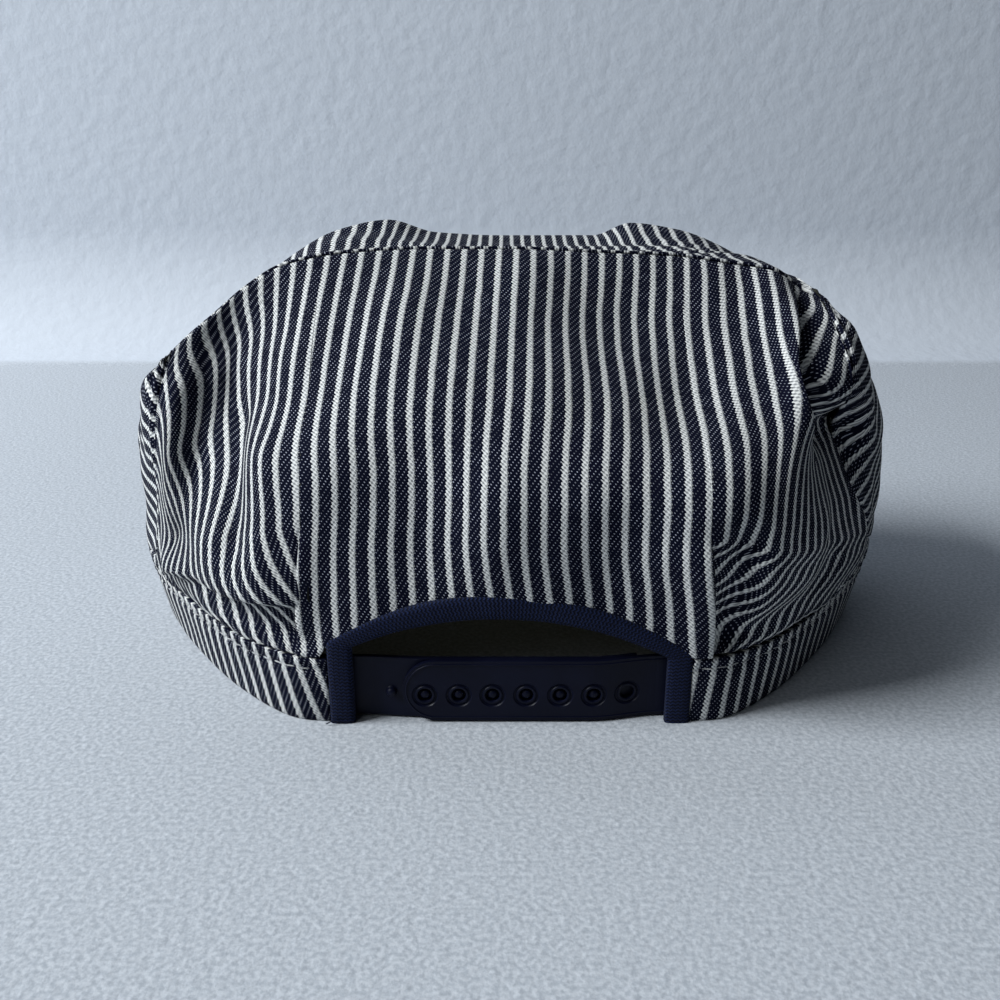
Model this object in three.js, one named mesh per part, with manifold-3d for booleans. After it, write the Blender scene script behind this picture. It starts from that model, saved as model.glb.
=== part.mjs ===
// Conductor cap of hickory-stripe cloth, as it lies on a table by itself.
// Millimetres, +Z up. The back with its arched opening faces -Y, the visor faces +Y,
// and +X is the wearer's right. The cap stands on z = 0.
import * as THREE from "three";
import { mergeVertices } from "three/addons/utils/BufferGeometryUtils.js";
import Module from "manifold-3d";

// Driving dimensions
const CLOTH = 1.6; // crown cloth with its seam turnings
const SEAM_GAP = 0.17; // half of the clearance between two sewn pieces
const BAND_HEIGHT = 18;
const BAND_THICKNESS = 2;
const OPENING_HALF = 45.5; // half width of the back opening, over its binding
const OPENING_EDGE = OPENING_HALF + 2 * SEAM_GAP; // where the cloth beside it starts
const BINDING_WIDTH = 6.3;
const BINDING_THICKNESS = 3.2;
const BINDING_PROUD = 0.7; // how far the binding stands out from the cloth
const OUTER_ARCH = { half: OPENING_HALF, spring: 21, top: 35.3 };
const INNER_ARCH = { half: OPENING_HALF - BINDING_WIDTH, spring: 19.8, top: 28.9 };
const ARCH_TILT = 1.5; // how much lower the arch ends on the right than in the middle
const ARCH_POWER = 2.1; // how square the arch is, 2 a parabola
const STRAP_HEIGHT = 16.8;
const STRAP_THICKNESS = 1.3;
const STRAP_BASE = 0.6; // height of the straps' lower edge
const STRAP_GAP = 0.3; // clearance between the straps, and round each peg's end
const STRAP_END = 52; // from the middle to where the straps end, sewn in behind the band
const STRAP_FACE_SEWN = 2.9; // how far in their faces lie there
const OUTER_FACE = 0;
const INNER_FACE = OUTER_FACE + STRAP_THICKNESS + STRAP_GAP;
const OUTER_TIP = -27;
const INNER_TIP = 26.5;
const STRAP_EASE = { from: 13.5, to: 32 }; // stretch over which a strap's face comes forward
const SNAP_PITCH = 8.5;
const SNAP_COUNT = 7;
const SNAP_ROW = 7.8; // height of the row of snaps
const HOLE_RADIUS = 1.8;
const DISH_RADIUS = 3.35;
const DISH_DEPTH = 0.4;
const PEG_RADIUS = 1.3;
const PEG_ROOT = 0.5; // how deep a peg is rooted in its strap
const FIRST_PEG = -29.9; // the free peg, left of the end of the outer strap
const VISOR_THICKNESS = 3;
const VISOR_REACH = 58;
const VISOR_HALF = 74; // along the band, from its middle to its end
const VISOR_CAMBER = 9; // height of its front edge in the middle, under the visor
const VISOR_SPLAY = 0.35; // how far its ends point sideways, 1 square to the band
const VISOR_END_ROUNDNESS = 0.003; // keeps its pointed ends a few millimetres deep

// Plan of the band's lower outer edge, right half, from the opening round to the front.
// lean: how far the band's upper edge stands outside its lower edge.
// lift: height of the lower edge above the table.
const BAND_PLAN = [
  { x: 0, y: 0, lean: 0, lift: 0 },
  { x: 24, y: 0, lean: 0, lift: 0 },
  { x: 46, y: 0, lean: 0, lift: 0 },
  { x: 54, y: 1.5, lean: 0.3, lift: 0 },
  { x: 62, y: 6.5, lean: 0.8, lift: 0 },
  { x: 71, y: 14.5, lean: 1.4, lift: 0 },
  { x: 81, y: 26, lean: 2, lift: 0 },
  { x: 90, y: 38, lean: 2.6, lift: 0 },
  { x: 98, y: 50, lean: 3.2, lift: 0 },
  { x: 105, y: 63, lean: 3.8, lift: 0 },
  { x: 108.5, y: 77, lean: 4, lift: 0 },
  { x: 108, y: 90, lean: 4, lift: 0.3 },
  { x: 101, y: 104, lean: 3, lift: 1 },
  { x: 88, y: 115, lean: 2, lift: 2 },
  { x: 68, y: 124, lean: 1, lift: 3.2 },
  { x: 38, y: 130, lean: 0.5, lift: 4.4 },
  { x: 0, y: 132, lean: 0.5, lift: 5 },
];

// The crown's outer form, a row for each station round the band from the middle of
// the back (at 0) to the middle of the front.
// at: distance along the band. turn: way in, 0 straight forward, 90 to the middle.
// in1 to in5: inset at five heights between the foot and the rim.
// rimIn, rimUp: inset and height of the rim, where the top bends over.
// puff: how far the top stands over a straight line from the rim to its spine.
// seam: level of the seam between wall and top, 6 on the rim and 0 at the band.
const LEFT_STATIONS = [
  { at: 0, turn: 0, in1: 0, in2: -2, in3: 1, in4: 13, in5: 35, rimIn: 60, rimUp: 112,
    puff: -1.5, seam: 6 },
  { at: 24, turn: 0, in1: 1, in2: 4, in3: 8, in4: 16, in5: 35, rimIn: 60, rimUp: 112,
    puff: -1.5, seam: 6 },
  { at: 46, turn: 0, in1: 2, in2: 5, in3: 9, in4: 22, in5: 40, rimIn: 59, rimUp: 111,
    puff: -1, seam: 6 },
  { at: 62, turn: 0, in1: 0, in2: 4, in3: 11, in4: 27, in5: 42, rimIn: 54, rimUp: 108,
    puff: -0.5, seam: 6 },
  { at: 78, turn: 2, in1: -2, in2: 2, in3: 12, in4: 28, in5: 37, rimIn: 42, rimUp: 102,
    puff: 0, seam: 6 },
  { at: 92, turn: 5, in1: -3, in2: 1, in3: 9, in4: 16, in5: 24, rimIn: 28, rimUp: 95,
    puff: 0, seam: 6 },
  { at: 106, turn: 12, in1: -4, in2: -3, in3: -3, in4: -1, in5: 5, rimIn: 14, rimUp: 88,
    puff: 0, seam: 6 },
  { at: 118, turn: 35, in1: -2, in2: -1, in3: 0, in4: -1, in5: -1, rimIn: 1, rimUp: 79,
    puff: 0, seam: 5.6 },
  { at: 130, turn: 60, in1: -1, in2: 0, in3: 0, in4: 1, in5: 1, rimIn: 3, rimUp: 75,
    puff: 1, seam: 3 },
  { at: 145, turn: 80, in1: -1, in2: 0, in3: 0, in4: 1, in5: 4, rimIn: 9, rimUp: 72,
    puff: 2, seam: 0.6 },
  { at: 163, turn: 98, in1: -2, in2: -5, in3: -6, in4: -5, in5: 0, rimIn: 8, rimUp: 74,
    puff: 2, seam: 0.6 },
  { at: 182, turn: 125, in1: -2, in2: -4, in3: -4, in4: -2, in5: 2, rimIn: 9, rimUp: 86,
    puff: 1, seam: 4 },
  { at: 205, turn: 150, in1: -2, in2: -3, in3: -2, in4: 1, in5: 6, rimIn: 12, rimUp: 101,
    puff: 0, seam: 6 },
  { at: 228, turn: 166, in1: -2, in2: -3, in3: -1, in4: 3, in5: 9, rimIn: 15, rimUp: 112,
    puff: -1, seam: 6 },
  { at: 246, turn: 173, in1: -2, in2: -3, in3: -1, in4: 3, in5: 9, rimIn: 16, rimUp: 115,
    puff: -2, seam: 6 },
  { at: 262, turn: 177, in1: -2, in2: -3, in3: -1, in4: 3, in5: 9, rimIn: 17, rimUp: 111,
    puff: -1, seam: 6 },
  { at: 285, turn: 180, in1: -2, in2: -3, in3: 0, in4: 4, in5: 10, rimIn: 18, rimUp: 110,
    puff: -1, seam: 6 },
];
const RIGHT_STATIONS = [
  { at: 0, turn: 0, in1: 0, in2: -2, in3: 1, in4: 13, in5: 35, rimIn: 60, rimUp: 112,
    puff: -1.5, seam: 6 },
  { at: 24, turn: 0, in1: 0, in2: -2, in3: -1, in4: 17, in5: 43, rimIn: 61, rimUp: 111,
    puff: -1.5, seam: 6 },
  { at: 46, turn: 0, in1: -2, in2: -5, in3: -1, in4: 24, in5: 46, rimIn: 62, rimUp: 110,
    puff: -1, seam: 6 },
  { at: 62, turn: 0, in1: -4, in2: -7, in3: -2, in4: 16, in5: 39, rimIn: 56, rimUp: 108,
    puff: 0, seam: 6 },
  { at: 78, turn: 2, in1: -5, in2: -9, in3: -6, in4: 5, in5: 22, rimIn: 44, rimUp: 106.5,
    puff: 1, seam: 6 },
  { at: 92, turn: 4, in1: -4, in2: -4, in3: 2, in4: 4, in5: 10, rimIn: 34, rimUp: 101,
    puff: 2, seam: 6 },
  { at: 104, turn: 12, in1: -4, in2: -3, in3: 3, in4: 2, in5: 3, rimIn: 20, rimUp: 98,
    puff: 2, seam: 5.6 },
  { at: 116, turn: 42, in1: -3, in2: -3, in3: -2, in4: -1, in5: 1, rimIn: 8, rimUp: 92,
    puff: 2, seam: 2.6 },
  { at: 130, turn: 62, in1: -1, in2: -1, in3: -1, in4: 0, in5: 3, rimIn: 7, rimUp: 82,
    puff: 2, seam: 1.1 },
  { at: 145, turn: 80, in1: -2, in2: -2, in3: -2, in4: -1, in5: 2, rimIn: 8, rimUp: 80,
    puff: 2, seam: 0.6 },
  { at: 163, turn: 98, in1: -3, in2: -5, in3: -5, in4: -3, in5: 1, rimIn: 9, rimUp: 80,
    puff: 2, seam: 0.6 },
  { at: 182, turn: 125, in1: -2, in2: -4, in3: -4, in4: -2, in5: 2, rimIn: 9, rimUp: 90,
    puff: 1, seam: 4 },
  { at: 205, turn: 150, in1: -2, in2: -3, in3: -2, in4: 1, in5: 6, rimIn: 12, rimUp: 104,
    puff: 0, seam: 6 },
  { at: 228, turn: 166, in1: -2, in2: -3, in3: -1, in4: 3, in5: 9, rimIn: 15, rimUp: 112,
    puff: -1, seam: 6 },
  { at: 245, turn: 173, in1: -2, in2: -3, in3: -1, in4: 3, in5: 9, rimIn: 16, rimUp: 114,
    puff: -2, seam: 6 },
  { at: 258, turn: 177, in1: -2, in2: -3, in3: -1, in4: 3, in5: 9, rimIn: 17, rimUp: 110,
    puff: -1, seam: 6 },
  { at: 285, turn: 180, in1: -2, in2: -3, in3: 0, in4: 4, in5: 10, rimIn: 18, rimUp: 110,
    puff: -1, seam: 6 },
];
const LEVEL_SHARES = [0, 0.13, 0.34, 0.51, 0.66, 0.82, 1]; // foot to rim
// The top's spine runs across the middle of the cap from side to side. The lines of
// the back and of the front meet on it, a station of one opposite a station of the other.
const SPINE_Y = 88;
const SPINE_HALF = 86;
const SPINE_STATION = 153; // distance round the band of the spine's ends
const SPINE = [
  { at: -86, height: 86 },
  { at: -70, height: 96 },
  { at: -50, height: 105 },
  { at: -25, height: 108 },
  { at: 0, height: 106.5 },
  { at: 25, height: 107.5 },
  { at: 50, height: 108 },
  { at: 70, height: 104 },
  { at: 86, height: 94 },
];

// Creases pressed into the crown, each along a straight line between two places.
// side: -1 left, 1 right. at, level: where it starts. toAt, toLevel: where it ends.
// width: half width. depth: how far in, negative where the cloth bulges.
const FOLDS = [
  { side: -1, at: 54, level: 0.2, toAt: 100, toLevel: 1.6, width: 6, depth: 4 },
  { side: 1, at: 84, level: 3.2, toAt: 106, toLevel: 3.6, width: 9, depth: 7 },
  { side: 1, at: 54, level: 0.2, toAt: 56, toLevel: 2, width: 5, depth: 4 },
];
const LEVEL_RISE = 15; // mean rise of one level along the wall

// Monotone cubic through the rows of a table, for every column at once
function slopeAt(rows, index, column) {
  if (index === 0 || index === rows.length - 1) return 0;
  const before = rows[index - 1];
  const here = rows[index];
  const after = rows[index + 1];
  const rising = (here[column] - before[column]) / (here.at - before.at);
  const following = (after[column] - here[column]) / (after.at - here.at);
  if (rising * following <= 0) return 0;
  return (2 * rising * following) / (rising + following);
}

function rowAt(rows, at) {
  const last = rows.length - 1;
  const place = THREE.MathUtils.clamp(at, rows[0].at, rows[last].at);
  let index = 0;
  while (index < last - 1 && rows[index + 1].at < place) index += 1;
  const low = rows[index];
  const high = rows[index + 1];
  const run = high.at - low.at;
  const t = (place - low.at) / run;
  const result = {};
  for (const column of Object.keys(low)) {
    const slopeLow = slopeAt(rows, index, column) * run;
    const slopeHigh = slopeAt(rows, index + 1, column) * run;
    result[column] =
      low[column] * (2 * t ** 3 - 3 * t ** 2 + 1) +
      slopeLow * (t ** 3 - 2 * t ** 2 + t) +
      high[column] * (3 * t ** 2 - 2 * t ** 3) +
      slopeHigh * (t ** 3 - t ** 2);
  }
  return result;
}

// The band's plan as a smooth curve, its rows numbered by the distance round it
function measuredPlan() {
  const corners = BAND_PLAN.map((row) => new THREE.Vector3(row.x, row.y, 0));
  const mirrored = corners.slice(1, -1).reverse().map((p) => new THREE.Vector3(-p.x, p.y, 0));
  const loop = new THREE.CatmullRomCurve3([...corners, ...mirrored], true, "centripetal");
  const steps = 4000;
  const lengths = loop.getLengths(steps);
  const half = lengths[steps / 2];
  const rowLengths = BAND_PLAN.map(
    (row, index) => lengths[Math.round((index / (2 * BAND_PLAN.length - 2)) * steps)],
  );
  const rows = BAND_PLAN.map((row, index) => ({ at: rowLengths[index], lean: row.lean, lift: row.lift }));
  return { loop, half, rows };
}
const PLAN = measuredPlan();
const HALF_BAND = PLAN.half;

// Place and outward direction on the band, at a signed distance round it
function bandFrame(at) {
  const share = THREE.MathUtils.euclideanModulo(at / (2 * HALF_BAND), 1);
  const point = PLAN.loop.getPointAt(share);
  const along = PLAN.loop.getTangentAt(share);
  const outward = new THREE.Vector3(along.y, -along.x, 0);
  const edge = rowAt(PLAN.rows, Math.abs(at));
  return { point, outward, lean: edge.lean, lift: edge.lift };
}

function bandPoint(at, height, depth) {
  const { point, outward, lean, lift } = bandFrame(at);
  const out = (lean * height) / BAND_HEIGHT - depth;
  return new THREE.Vector3(
    point.x + outward.x * out,
    point.y + outward.y * out,
    lift + (height * (BAND_HEIGHT - lift)) / BAND_HEIGHT,
  );
}

// Depth of the creases at one place of the crown
function foldDepth(side, at, level) {
  let depth = 0;
  for (const fold of FOLDS) {
    if (fold.side !== side) continue;
    const run = new THREE.Vector2(fold.toAt - fold.at, (fold.toLevel - fold.level) * LEVEL_RISE);
    const reach = new THREE.Vector2(at - fold.at, (level - fold.level) * LEVEL_RISE);
    const share = THREE.MathUtils.clamp(reach.dot(run) / run.lengthSq(), 0, 1);
    const away = reach.sub(run.multiplyScalar(share)).length() / fold.width;
    depth += fold.depth * Math.exp(-away * away);
  }
  return depth * THREE.MathUtils.smoothstep(level, 0, 0.6);
}

function catmullRom(a, b, c, d, t) {
  return (
    0.5 *
    (2 * b + (c - a) * t + (2 * a - 5 * b + 4 * c - d) * t ** 2 + (3 * b - a - 3 * c + d) * t ** 3)
  );
}

const RIM_LEVEL = 6;
const SPINE_LEVEL = 9;

// How far a station is from the middle of the back or front (0) to the spine's end (1)
function spineShare(at) {
  const distance = Math.abs(at);
  if (distance <= SPINE_STATION) return distance / SPINE_STATION;
  return Math.max(HALF_BAND - distance, 0) / (HALF_BAND - SPINE_STATION);
}

// The station on the other side of the spine whose line ends at the same point
function oppositeStation(at) {
  const share = spineShare(at);
  const side = at < 0 ? -1 : 1;
  const front = HALF_BAND - share * (HALF_BAND - SPINE_STATION);
  return side * (Math.abs(at) <= SPINE_STATION ? front : share * SPINE_STATION);
}

// The control points of one line from the band's top up the wall and over to the spine
function controlPoints(at) {
  const side = at < 0 ? -1 : 1;
  const row = rowAt(side < 0 ? LEFT_STATIONS : RIGHT_STATIONS, Math.abs(at));
  const foot = bandPoint(at, BAND_HEIGHT, 0);
  foot.z += 2 * SEAM_GAP;
  const turn = THREE.MathUtils.degToRad(row.turn);
  const inward = new THREE.Vector3(-side * Math.sin(turn), Math.cos(turn), 0);
  const insets = [0, row.in1, row.in2, row.in3, row.in4, row.in5, row.rimIn];
  const points = insets.map((inset, level) => {
    const point = foot.clone().addScaledVector(inward, inset);
    point.z = foot.z + (row.rimUp - foot.z) * LEVEL_SHARES[level];
    return point;
  });
  const rim = points[RIM_LEVEL];
  const spineX = side * SPINE_HALF * Math.sin((spineShare(at) * Math.PI) / 2);
  const spine = new THREE.Vector3(spineX, SPINE_Y, rowAt(SPINE, spineX).height);
  for (const share of [1 / 3, 2 / 3]) {
    const point = rim.clone().lerp(spine, share);
    point.z += row.puff;
    points.push(point);
  }
  points.push(spine);
  return { points, inward, side, crisp: THREE.MathUtils.smoothstep(row.seam, 4.5, 6) };
}

// A line with its last phantom point taken from the line across the spine
function crownLine(at) {
  const line = controlPoints(at);
  line.points.push(controlPoints(oppositeStation(at)).points[SPINE_LEVEL - 1]);
  return line;
}

// Where a line would go on past the rim: straight ahead as far as the rim is crisp,
// and otherwise on round the bend
function beyondRim(points, from, crisp) {
  const rim = points[RIM_LEVEL];
  const straight = rim.clone().multiplyScalar(2).sub(points[from]);
  return points[2 * RIM_LEVEL - from].clone().lerp(straight, crisp);
}

const crownLines = new Map();
function crownPoint(at, level) {
  const key = at.toFixed(4);
  if (!crownLines.has(key)) crownLines.set(key, crownLine(at));
  const { points, inward, side, crisp } = crownLines.get(key);
  const index = THREE.MathUtils.clamp(Math.floor(level), 0, SPINE_LEVEL - 1);
  const t = level - index;
  const near = [Math.max(index - 1, 0), index, index + 1, index + 2].map((n) => points[n]);
  if (index === RIM_LEVEL - 1) near[3] = beyondRim(points, RIM_LEVEL - 1, crisp);
  if (index === RIM_LEVEL) near[0] = beyondRim(points, RIM_LEVEL + 1, crisp);
  const place = new THREE.Vector3(
    catmullRom(near[0].x, near[1].x, near[2].x, near[3].x, t),
    catmullRom(near[0].y, near[1].y, near[2].y, near[3].y, t),
    catmullRom(near[0].z, near[1].z, near[2].z, near[3].z, t),
  );
  return place.addScaledVector(inward, foldDepth(side, Math.abs(at), level));
}

// Outward direction of the crown, taken over a few millimetres so that it turns gently
function crownNormal(at, level) {
  const reach = 3;
  const climb = 0.2;
  const along = crownPoint(at + reach, level).sub(crownPoint(at - reach, level));
  const up = crownPoint(at, Math.min(level + climb, SPINE_LEVEL));
  up.sub(crownPoint(at, Math.max(level - climb, 0)));
  return along.cross(up).normalize();
}

// Closed solid between two grids of points, rows along the first index. The ends are
// "walled", or "joined" to each other, or "folded" where each end row is doubled over.
function slab(front, back, ends) {
  const rows = front.length;
  const columns = front[0].length;
  const positions = [];
  for (const grid of [front, back]) {
    for (const row of grid) for (const p of row) positions.push(p.x, p.y, p.z);
  }
  const faces = [];
  const vertex = (layer, i, j) => layer * rows * columns + (i % rows) * columns + j;
  const quad = (a, b, c, d) => faces.push([a, b, c], [a, c, d]);
  const bays = ends === "joined" ? rows : rows - 1;
  for (let i = 0; i < bays; i += 1) {
    for (let j = 0; j < columns - 1; j += 1) {
      quad(vertex(0, i, j), vertex(0, i + 1, j), vertex(0, i + 1, j + 1), vertex(0, i, j + 1));
      quad(vertex(1, i, j), vertex(1, i, j + 1), vertex(1, i + 1, j + 1), vertex(1, i + 1, j));
    }
    const top = columns - 1;
    quad(vertex(0, i, 0), vertex(1, i, 0), vertex(1, i + 1, 0), vertex(0, i + 1, 0));
    quad(vertex(0, i, top), vertex(0, i + 1, top), vertex(1, i + 1, top), vertex(1, i, top));
  }
  if (ends === "walled") {
    const end = rows - 1;
    for (let j = 0; j < columns - 1; j += 1) {
      quad(vertex(0, 0, j), vertex(0, 0, j + 1), vertex(1, 0, j + 1), vertex(1, 0, j));
      quad(vertex(0, end, j), vertex(1, end, j), vertex(1, end, j + 1), vertex(0, end, j + 1));
    }
  }
  return closedGeometry(positions, faces);
}

// Geometry of the faces that are left when equal points are one, turned to face out
function closedGeometry(positions, faces) {
  const raw = new THREE.BufferGeometry();
  raw.setAttribute("position", new THREE.Float32BufferAttribute(positions, 3));
  raw.setIndex(faces.flat());
  const geometry = mergeVertices(raw, 1e-3);
  const index = geometry.index.array;
  const kept = [];
  for (let f = 0; f < index.length; f += 3) {
    const [a, b, c] = [index[f], index[f + 1], index[f + 2]];
    if (a !== b && b !== c && c !== a) kept.push([a, b, c]);
  }
  const place = geometry.attributes.position;
  const corner = (n) => new THREE.Vector3().fromBufferAttribute(place, n);
  const volume = kept.reduce((sum, [a, b, c]) => sum + corner(a).dot(corner(b).cross(corner(c))), 0);
  geometry.setIndex((volume < 0 ? kept.map(([a, b, c]) => [a, c, b]) : kept).flat());
  geometry.computeVertexNormals();
  return geometry;
}

// Height of an edge of the arch over a place across the back
function archHeight(arch, x) {
  const share = Math.min(Math.abs(x) / arch.half, 1);
  const tilt = (ARCH_TILT * x) / arch.half;
  return arch.top - tilt - (arch.top - arch.spring) * share ** ARCH_POWER;
}

// Level on the wall that lies at a height above the table
function levelAtHeight(at, height) {
  let low = 0;
  let high = 3;
  for (let step = 0; step < 24; step += 1) {
    const middle = (low + high) / 2;
    if (crownPoint(at, middle).z < height) low = middle;
    else high = middle;
  }
  return low;
}

function seamLevel(at) {
  return rowAt(at < 0 ? LEFT_STATIONS : RIGHT_STATIONS, Math.abs(at)).seam;
}

// The top's rows, by their stations at the back, from one end of the spine to the other
function topStations() {
  const overOpening = 6;
  const besideOpening = 20;
  const right = [
    ...spread(0, OPENING_EDGE, overOpening),
    ...spread(OPENING_EDGE, SPINE_STATION, besideOpening),
    SPINE_STATION,
  ];
  const left = right.slice(1).reverse().map((at) => -at);
  return [...left, ...right];
}

// The wall's columns all the way round. They include the ends of the top's rows, so
// that the two edges of the seam run side by side.
function wallStations() {
  const back = topStations().filter((at) => at >= 0);
  const front = back.slice(0, -1).map(oppositeStation);
  const right = [...back, OPENING_EDGE + 2 * SEAM_GAP, ...front].sort((a, b) => a - b);
  const left = right.slice(1, -1).reverse().map((at) => -at);
  return [...left, ...right];
}

// A place on the crown, a depth under its surface. The cut edge over the band and the
// arch is level, so there the depth is measured level too.
function crownPlace(at, level, depth, cutEdge = false) {
  const normal = crownNormal(at, level);
  if (cutEdge) normal.setZ(0).normalize();
  return crownPoint(at, level).addScaledVector(normal, -depth);
}

// A place on the seam of the top, moved across it by a distance towards the top
function seamPoint(at, depth, across) {
  const reach = 1.5;
  const level = seamLevel(at);
  const along = crownPoint(at + reach, seamLevel(at + reach));
  along.sub(crownPoint(at - reach, seamLevel(at - reach)));
  const upward = crownNormal(at, level).cross(along).normalize();
  return crownPlace(at, level, depth).addScaledVector(upward, across);
}

// Evenly spaced values from a start up to, but not at, an end
function spread(from, to, count) {
  return Array.from({ length: count }, (_, n) => from + ((to - from) * n) / count);
}

function crownSide() {
  const lowerRows = 4;
  const upperRows = 7;
  const lowerShare = 0.4; // of the way up, where the rows grow closer
  const grid = (depth) =>
    wallStations().map((at) => {
      const seam = seamLevel(at);
      const inOpening = Math.abs(at) < OPENING_EDGE + SEAM_GAP;
      const foot = inOpening ? levelAtHeight(at, archHeight(OUTER_ARCH, at) + 2 * SEAM_GAP) : 0;
      const split = THREE.MathUtils.lerp(foot, seam, lowerShare);
      const levels = [...spread(foot, split, lowerRows), ...spread(split, seam, upperRows)];
      const column = levels.map((level, n) => crownPlace(at, level, depth, n === 0));
      return [...column, seamPoint(at, depth, -SEAM_GAP)];
    });
  return slab(grid(0), grid(CLOTH), "joined");
}

// Each row of the top runs from the seam at the back over the spine to the seam in front
function crownTop() {
  const climb = 6;
  const half = (at, depth) => {
    const levels = spread(seamLevel(at), SPINE_LEVEL, climb).slice(1);
    const column = levels.map((level) => crownPlace(at, level, depth));
    return [seamPoint(at, depth, SEAM_GAP), ...column];
  };
  const grid = (depth) =>
    topStations().map((at) => [
      ...half(at, depth),
      crownPlace(at, SPINE_LEVEL, depth),
      ...half(oppositeStation(at), depth).reverse(),
    ]);
  return slab(grid(0), grid(CLOTH), "folded");
}

function band() {
  const start = OPENING_EDGE;
  const steps = 72;
  const heights = [0, BAND_HEIGHT / 2, BAND_HEIGHT];
  const grid = (depth) =>
    Array.from({ length: steps + 1 }, (_, n) => {
      const at = start + ((2 * HALF_BAND - 2 * start) * n) / steps;
      const signed = at > HALF_BAND ? at - 2 * HALF_BAND : at;
      return heights.map((height) => bandPoint(signed, height, depth));
    });
  return slab(grid(0), grid(BAND_THICKNESS), "walled");
}

// One edge of the tape round the opening, seen from the back
function archOutline(arch) {
  const steps = 20;
  return Array.from({ length: steps + 1 }, (_, n) => {
    const x = -arch.half * Math.cos((Math.PI * n) / steps);
    return new THREE.Vector2(x, archHeight(arch, x));
  });
}

function openingBinding() {
  const shape = new THREE.Shape([
    new THREE.Vector2(-OUTER_ARCH.half, 0),
    ...archOutline(OUTER_ARCH),
    new THREE.Vector2(OUTER_ARCH.half, 0),
    new THREE.Vector2(INNER_ARCH.half, 0),
    ...archOutline(INNER_ARCH).reverse(),
    new THREE.Vector2(-INNER_ARCH.half, 0),
  ]);
  const geometry = new THREE.ExtrudeGeometry(shape, { depth: BINDING_THICKNESS, bevelEnabled: false });
  geometry.rotateX(Math.PI / 2);
  geometry.translate(0, BINDING_THICKNESS - BINDING_PROUD, 0);
  return geometry;
}

const wasm = await Module();
wasm.setup();

function solid(geometry) {
  const bare = new THREE.BufferGeometry();
  bare.setAttribute("position", geometry.getAttribute("position"));
  if (geometry.index) bare.setIndex(geometry.index);
  const merged = mergeVertices(bare, 1e-4);
  return new wasm.Manifold(
    new wasm.Mesh({
      numProp: 3,
      vertProperties: merged.attributes.position.array,
      triVerts: new Uint32Array(merged.index.array),
    }),
  );
}

function geometryOf(made) {
  const mesh = made.getMesh();
  const geometry = new THREE.BufferGeometry();
  geometry.setAttribute("position", new THREE.BufferAttribute(mesh.vertProperties, 3));
  geometry.setIndex(new THREE.BufferAttribute(mesh.triVerts, 1));
  geometry.computeVertexNormals();
  return geometry;
}

// A strip that stands on edge and follows a line y(x) across the back
function strip(from, to, faceAt) {
  const steps = 16;
  const xs = Array.from({ length: steps + 1 }, (_, n) => from + ((to - from) * n) / steps);
  const near = xs.map((x) => new THREE.Vector2(x, faceAt(x)));
  const far = xs.map((x) => new THREE.Vector2(x, faceAt(x) + STRAP_THICKNESS)).reverse();
  const geometry = new THREE.ExtrudeGeometry(new THREE.Shape([...near, ...far]), {
    depth: STRAP_HEIGHT,
    bevelEnabled: false,
  });
  geometry.translate(0, 0, STRAP_BASE);
  return geometry;
}

// A round bar lying along Y
function bar(radius, x, nearY, farY, sides) {
  const geometry = new THREE.CylinderGeometry(radius, radius, farY - nearY, sides);
  geometry.translate(x, (nearY + farY) / 2, SNAP_ROW);
  return geometry;
}

// Where the face of a strap lies, from behind the band forward to its free place
function easedFace(free, distanceFromSewnEnd) {
  const share = THREE.MathUtils.smoothstep(distanceFromSewnEnd, STRAP_EASE.from, STRAP_EASE.to);
  return THREE.MathUtils.lerp(STRAP_FACE_SEWN, free, share);
}

function outerFace(x) {
  return easedFace(OUTER_FACE, STRAP_END - x);
}

function innerFace(x) {
  const behindOuter = outerFace(x) + STRAP_THICKNESS + STRAP_GAP;
  return Math.max(easedFace(INNER_FACE, x + STRAP_END), behindOuter);
}

function strapHoles() {
  const middle = STRAP_HEIGHT / 2;
  let strap = solid(strip(OUTER_TIP, STRAP_END, outerFace));
  const outline = new THREE.Shape();
  outline.moveTo(STRAP_END + 1, -1);
  outline.lineTo(STRAP_END + 1, STRAP_HEIGHT + 1);
  outline.lineTo(OUTER_TIP + middle, STRAP_HEIGHT + 1);
  outline.lineTo(OUTER_TIP + middle, STRAP_HEIGHT);
  outline.absarc(OUTER_TIP + middle, middle, middle, Math.PI / 2, (3 * Math.PI) / 2, false);
  outline.lineTo(OUTER_TIP + middle, -1);
  const cutter = new THREE.ExtrudeGeometry(outline, { depth: 12, bevelEnabled: false, curveSegments: 16 });
  cutter.rotateX(Math.PI / 2);
  cutter.translate(0, 8, STRAP_BASE);
  strap = strap.intersect(solid(cutter));
  for (let n = 0; n < SNAP_COUNT; n += 1) {
    const x = FIRST_PEG + SNAP_PITCH * (n + 1);
    const surface = outerFace(x);
    strap = strap.subtract(solid(bar(HOLE_RADIUS, x, surface - 2, surface + 4, 12)));
    strap = strap.subtract(solid(bar(DISH_RADIUS, x, surface - 2, surface + DISH_DEPTH, 16)));
  }
  return geometryOf(strap);
}

function strapPegs() {
  let strap = solid(strip(-STRAP_END, INNER_TIP, innerFace));
  for (let n = 0; n < SNAP_COUNT; n += 1) {
    const x = FIRST_PEG + SNAP_PITCH * n;
    const surface = innerFace(x);
    const tip = surface - STRAP_THICKNESS - STRAP_GAP;
    strap = strap.add(solid(bar(PEG_RADIUS, x, tip, surface + PEG_ROOT, 12)));
  }
  return geometryOf(strap);
}

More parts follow.
